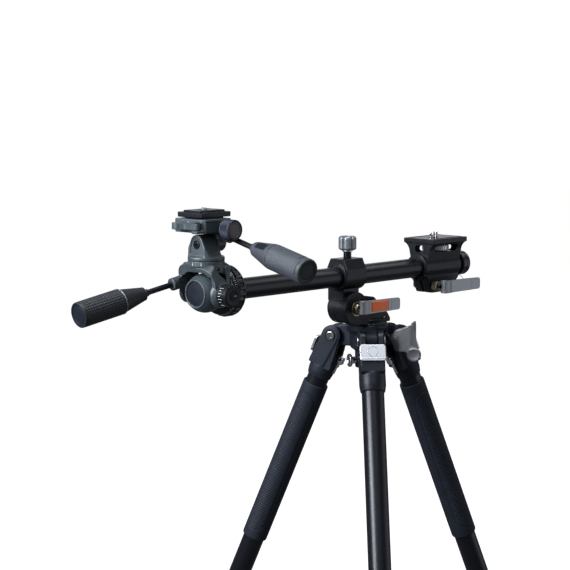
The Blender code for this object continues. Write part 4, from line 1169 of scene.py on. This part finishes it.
def angle_stop(name, place):
    """The pull-out plate that sets a leg's angle: rounded, with a plain ring and a pressed ridge."""
    face = place @ shift(15.4, 0, -19.5) @ TO_RIGHT
    plate = slab(face, rounded([(-16.2, -10.5), (16.2, -10.5), (16.2, 10.5), (-16.2, 10.5)], 3.2, steps=7),
        0, 3.4, 0.9, segments=4)
    tongue = box(place, (8, 14, 9), (13, 0, -17.5), 0.6)
    ridge = box(face, (29, 1.6, 1.0), (0, -7.4, 3.3), 0.4)
    ring = ringed(face @ shift(0, 1.6), [(6.6, 4.0), (6.6, 3.0), (5.8, 3.0), (5.8, 4.0)], 0.25)
    join(plate, tongue)
    cut(plate, box(face, (30, 0.7, 0.8), (0, -5.6, 3.6)))
    join(plate, ridge, ring)
    piece(plate, f"{name}_stop_plate", f"{name}_angle_stop", BRIGHT, [f"{name}_angle_stop"])
    tab = box(place, (7.5, 9.0, 9.5), (-20.2, 0, -28.5), 1.2, 3)
    pin_line = place @ shift(-20.2, 0, -26.5) @ TO_FRONT
    cut(tab, rod(pin_line, 2.1, -6, 6, SMALL))
    piece(tab, f"{name}_stop_catch", f"{name}_leg", BRIGHT)
    pin = rod(pin_line, 1.9, -4.9, 4.9, SMALL, 0.3)
    piece(pin, f"{name}_stop_catch_pin", f"{name}_leg", ROD_BLACK)
    tongue_bar = box(place @ shift(-18.0, 0, -40.5) @ spin(-4, "Y"), (1.6, 5.4, 18), (0, 0, 0), 0.5)
    piece(tongue_bar, f"{name}_stop_spring", f"{name}_leg", BRIGHT)


def grip(name, place):
    """A foam-backed rubber sleeve with a long oval panel of fine ribs on each side."""
    top, bottom, radius, panel = -70.0, -300.0, 16.5, 14.5
    middle, half = (top + bottom) / 2, (top - bottom) / 2 - 14

    def relief(r, z, a):
        if r <= 16.45:
            return 0
        around = abs(abs((a + pi) % (2 * pi) - pi) - pi / 2)
        across = around * radius / panel
        end = max(0.0, abs(z - middle) - (half - panel)) / panel
        inside = 1 - hypot(across, end)
        if inside < -0.05:
            return 0
        return -0.5 if inside < 0.06 else 0.32 * sin(pi * z / 1.6)

    body = dense([(radius, top - 2.5), (radius, bottom + 2.5)], 0.8)
    profile = [(14.4, top), (15.4, top), (16.1, top - 0.6), (16.4, top - 1.4)] + body
    profile += [(16.4, bottom + 1.4), (16.1, bottom + 0.6), (15.4, bottom), (14.4, bottom)]
    sleeve = lathe(place, profile, ring=True, relief=relief)
    piece(sleeve, f"{name}_grip_sleeve", f"{name}_leg", RUBBER, [f"{name}_grip"])


def twist_lock(name, which, place, outer, wide, narrow, top, bottom, step):
    """A twist lock with lobes to hold it by and a smooth tapered end."""
    lobes = 16
    low, high = bottom + 7.0, top - 5.0
    body = dense([(outer, high + 1.5), (outer, low - 1.5)], 1.5)
    profile = [(wide + 0.3, top), (outer - 2.2, top), (outer - 1.2, top - 0.6),
        (outer - 0.6, top - 2.0)] + body
    profile += [(outer - 0.4, bottom + 3.2), (outer - 2.4, bottom), (narrow + 0.3, bottom),
        (narrow + 0.3, step - 0.3), (wide + 0.3, step - 0.3)]
    ring = lathe(place, profile, lobes * 12, ring=True, relief=ribbed(0.9, lobes, outer - 0.05, low, high))
    piece(ring, f"{name}_{which}_lobed", f"{name}_{which}", RUBBER, [f"{name}_{which}"])


def leg_tubes(name, place):
    spans = (("upper", 14.0, -430.0, -36.5, "leg"), ("middle", 11.0, -477.5, -75.0, "middle"),
        ("lower", 9.0, -530.0, -110.0, "lower"))
    for tube_name, radius, low, high, rides in spans:
        wall = [(radius, high), (radius, low), (radius - 1.4, low), (radius - 1.4, high)]
        tube = ringed(place, wall, 0.3)
        piece(tube, f"{name}_{tube_name}_drawn", f"{name}_{rides}", TUBE_BLACK,
            [f"{name}_{tube_name}_tube"])


def leg_foot(name, place):
    dome = arc((0, -565), 14, 0, -84, 15)
    profile = [(9.4, -498.2), (12.2, -498.2), (13, -499.4)] + dense([(13, -501), (13, -543)], 1.5)
    profile += [(13.2, -548), (13.8, -555)] + dome + [(0, -579), (0, -531), (9.4, -531)]

    def relief(r, z, a):
        return -0.5 if r == 13 and (z % 6.0) < 1.6 and -540 < z < -504 else 0

    shape = lathe(place, profile, ring=True, relief=relief)
    piece(shape, f"{name}_foot_moulded", f"{name}_lower", RUBBER, [f"{name}_foot"])


def build_tripod():
    spider()
    column_lock()
    spider_lever()
    for name in LEGS:
        place = leg_frame(name)
        leg_yoke(name, place)
        pivot_bolt(name, place)
        angle_stop(name, place)
        leg_tubes(name, place)
        if name in GRIPPED:
            grip(name, place)
        twist_lock(name, "lock_1", place, 17.0, 14.0, 11.0, -412.0, -452.0, -431.0)
        twist_lock(name, "lock_2", place, 15.0, 11.0, 9.0, -454.0, -494.0, -478.0)
        leg_foot(name, place)


build_tripod()


# ---- camera, floor and light

LAMP_COLOUR = (0.90, 0.94, 1.0)
AMBIENT = 0.13
BACKDROP_GLOW = 1.0
SOFTBOXES = (
    # name, turn round the mount and rise in degrees, distance in metres, size in metres, watts
    ("key", -104, 24, 1.9, (1.0, 1.2), 75),
    ("strip", 74, 41, 1.8, (1.1, 0.5), 3),
    ("fill", 46, -2, 2.4, (2.0, 1.6), 7),
    ("back", 134, 14, 2.4, (2.6, 1.0), 8),
    ("top", -40, 80, 1.8, (1.0, 0.8), 20),
    ("plate", -39, 38, 2.2, (1.2, 0.8), 3.6),
    ("side", -70, 12, 2.4, (0.8, 1.2), 3.0),
)
CAMERA_FROM_ARM = (-1.757, -1.577, 0.264)
CAMERA_DOWN = 6.66
CAMERA_TURN = 46.2
LENS = 120
SENSOR = 36
FAR_CLIP = 100


def backdrop_material():
    g = Graph("studio_white")
    g.feed(g.shader.inputs["Base Color"], g.blend(g.noise(3.0), (0.24, 0.24, 0.24), (0.26, 0.26, 0.26)))
    g.uniform(Roughness=0.9, Specular_IOR_Level=0.0, Emission_Color=(1, 1, 1, 1),
        Emission_Strength=BACKDROP_GLOW)
    return g.material


def stage_backdrop():
    """A pale floor that curves up into a wall all round. It sends no light back, so the blacks stay deep."""
    wide, tall, bend = 14000, 9000, 2500
    profile = [(0, 0), (wide - bend, 0)] + arc((wide - bend, bend), bend, -90, 0, 16) + [(wide, tall)]
    sheet = lathe(Matrix(), profile)
    sheet.name = "studio_backdrop"
    sheet.data.materials.append(backdrop_material())
    sheet.data.shade_smooth()
    sheet.visible_diffuse = False
    sheet.visible_glossy = False


def softbox(name, at, towards, size, power):
    light = bpy.data.lights.new(name, "AREA")
    light.shape = "RECTANGLE"
    light.size, light.size_y = size
    light.energy = power
    light.color = LAMP_COLOUR
    lamp = bpy.data.objects.new(name, light)
    bpy.context.scene.collection.objects.link(lamp)
    lamp.visible_camera = False
    lamp.location = at
    lamp.rotation_euler = (Vector(towards) - Vector(at)).to_track_quat("-Z", "Y").to_euler()
    return lamp


def light_studio():
    world = bpy.data.worlds.new("studio")
    bpy.context.scene.world = world
    world.use_nodes = True
    sky = world.node_tree.nodes["Background"]
    sky.inputs["Color"].default_value = (*LAMP_COLOUR, 1)
    sky.inputs["Strength"].default_value = AMBIENT
    middle = ARM.translation
    for name, turn, rise, reach, size, power in SOFTBOXES:
        a = radians(turn)
        e = radians(rise)
        back = Vector((sin(a) * cos(e), -cos(a) * cos(e), sin(e)))
        softbox(name, middle + back * reach, middle, size, power)


def aim_camera():
    lens = bpy.data.cameras.new("camera")
    lens.sensor_width = SENSOR
    lens.lens = LENS
    camera = bpy.data.objects.new("camera", lens)
    bpy.context.scene.collection.objects.link(camera)
    camera.location = ARM.translation + Vector(CAMERA_FROM_ARM)
    camera.rotation_euler = (radians(90 - CAMERA_DOWN), 0, radians(-CAMERA_TURN))
    lens.clip_end = FAR_CLIP
    bpy.context.scene.camera = camera


stage_backdrop()
light_studio()
aim_camera()
bpy.context.scene.view_settings.view_transform = "Standard"
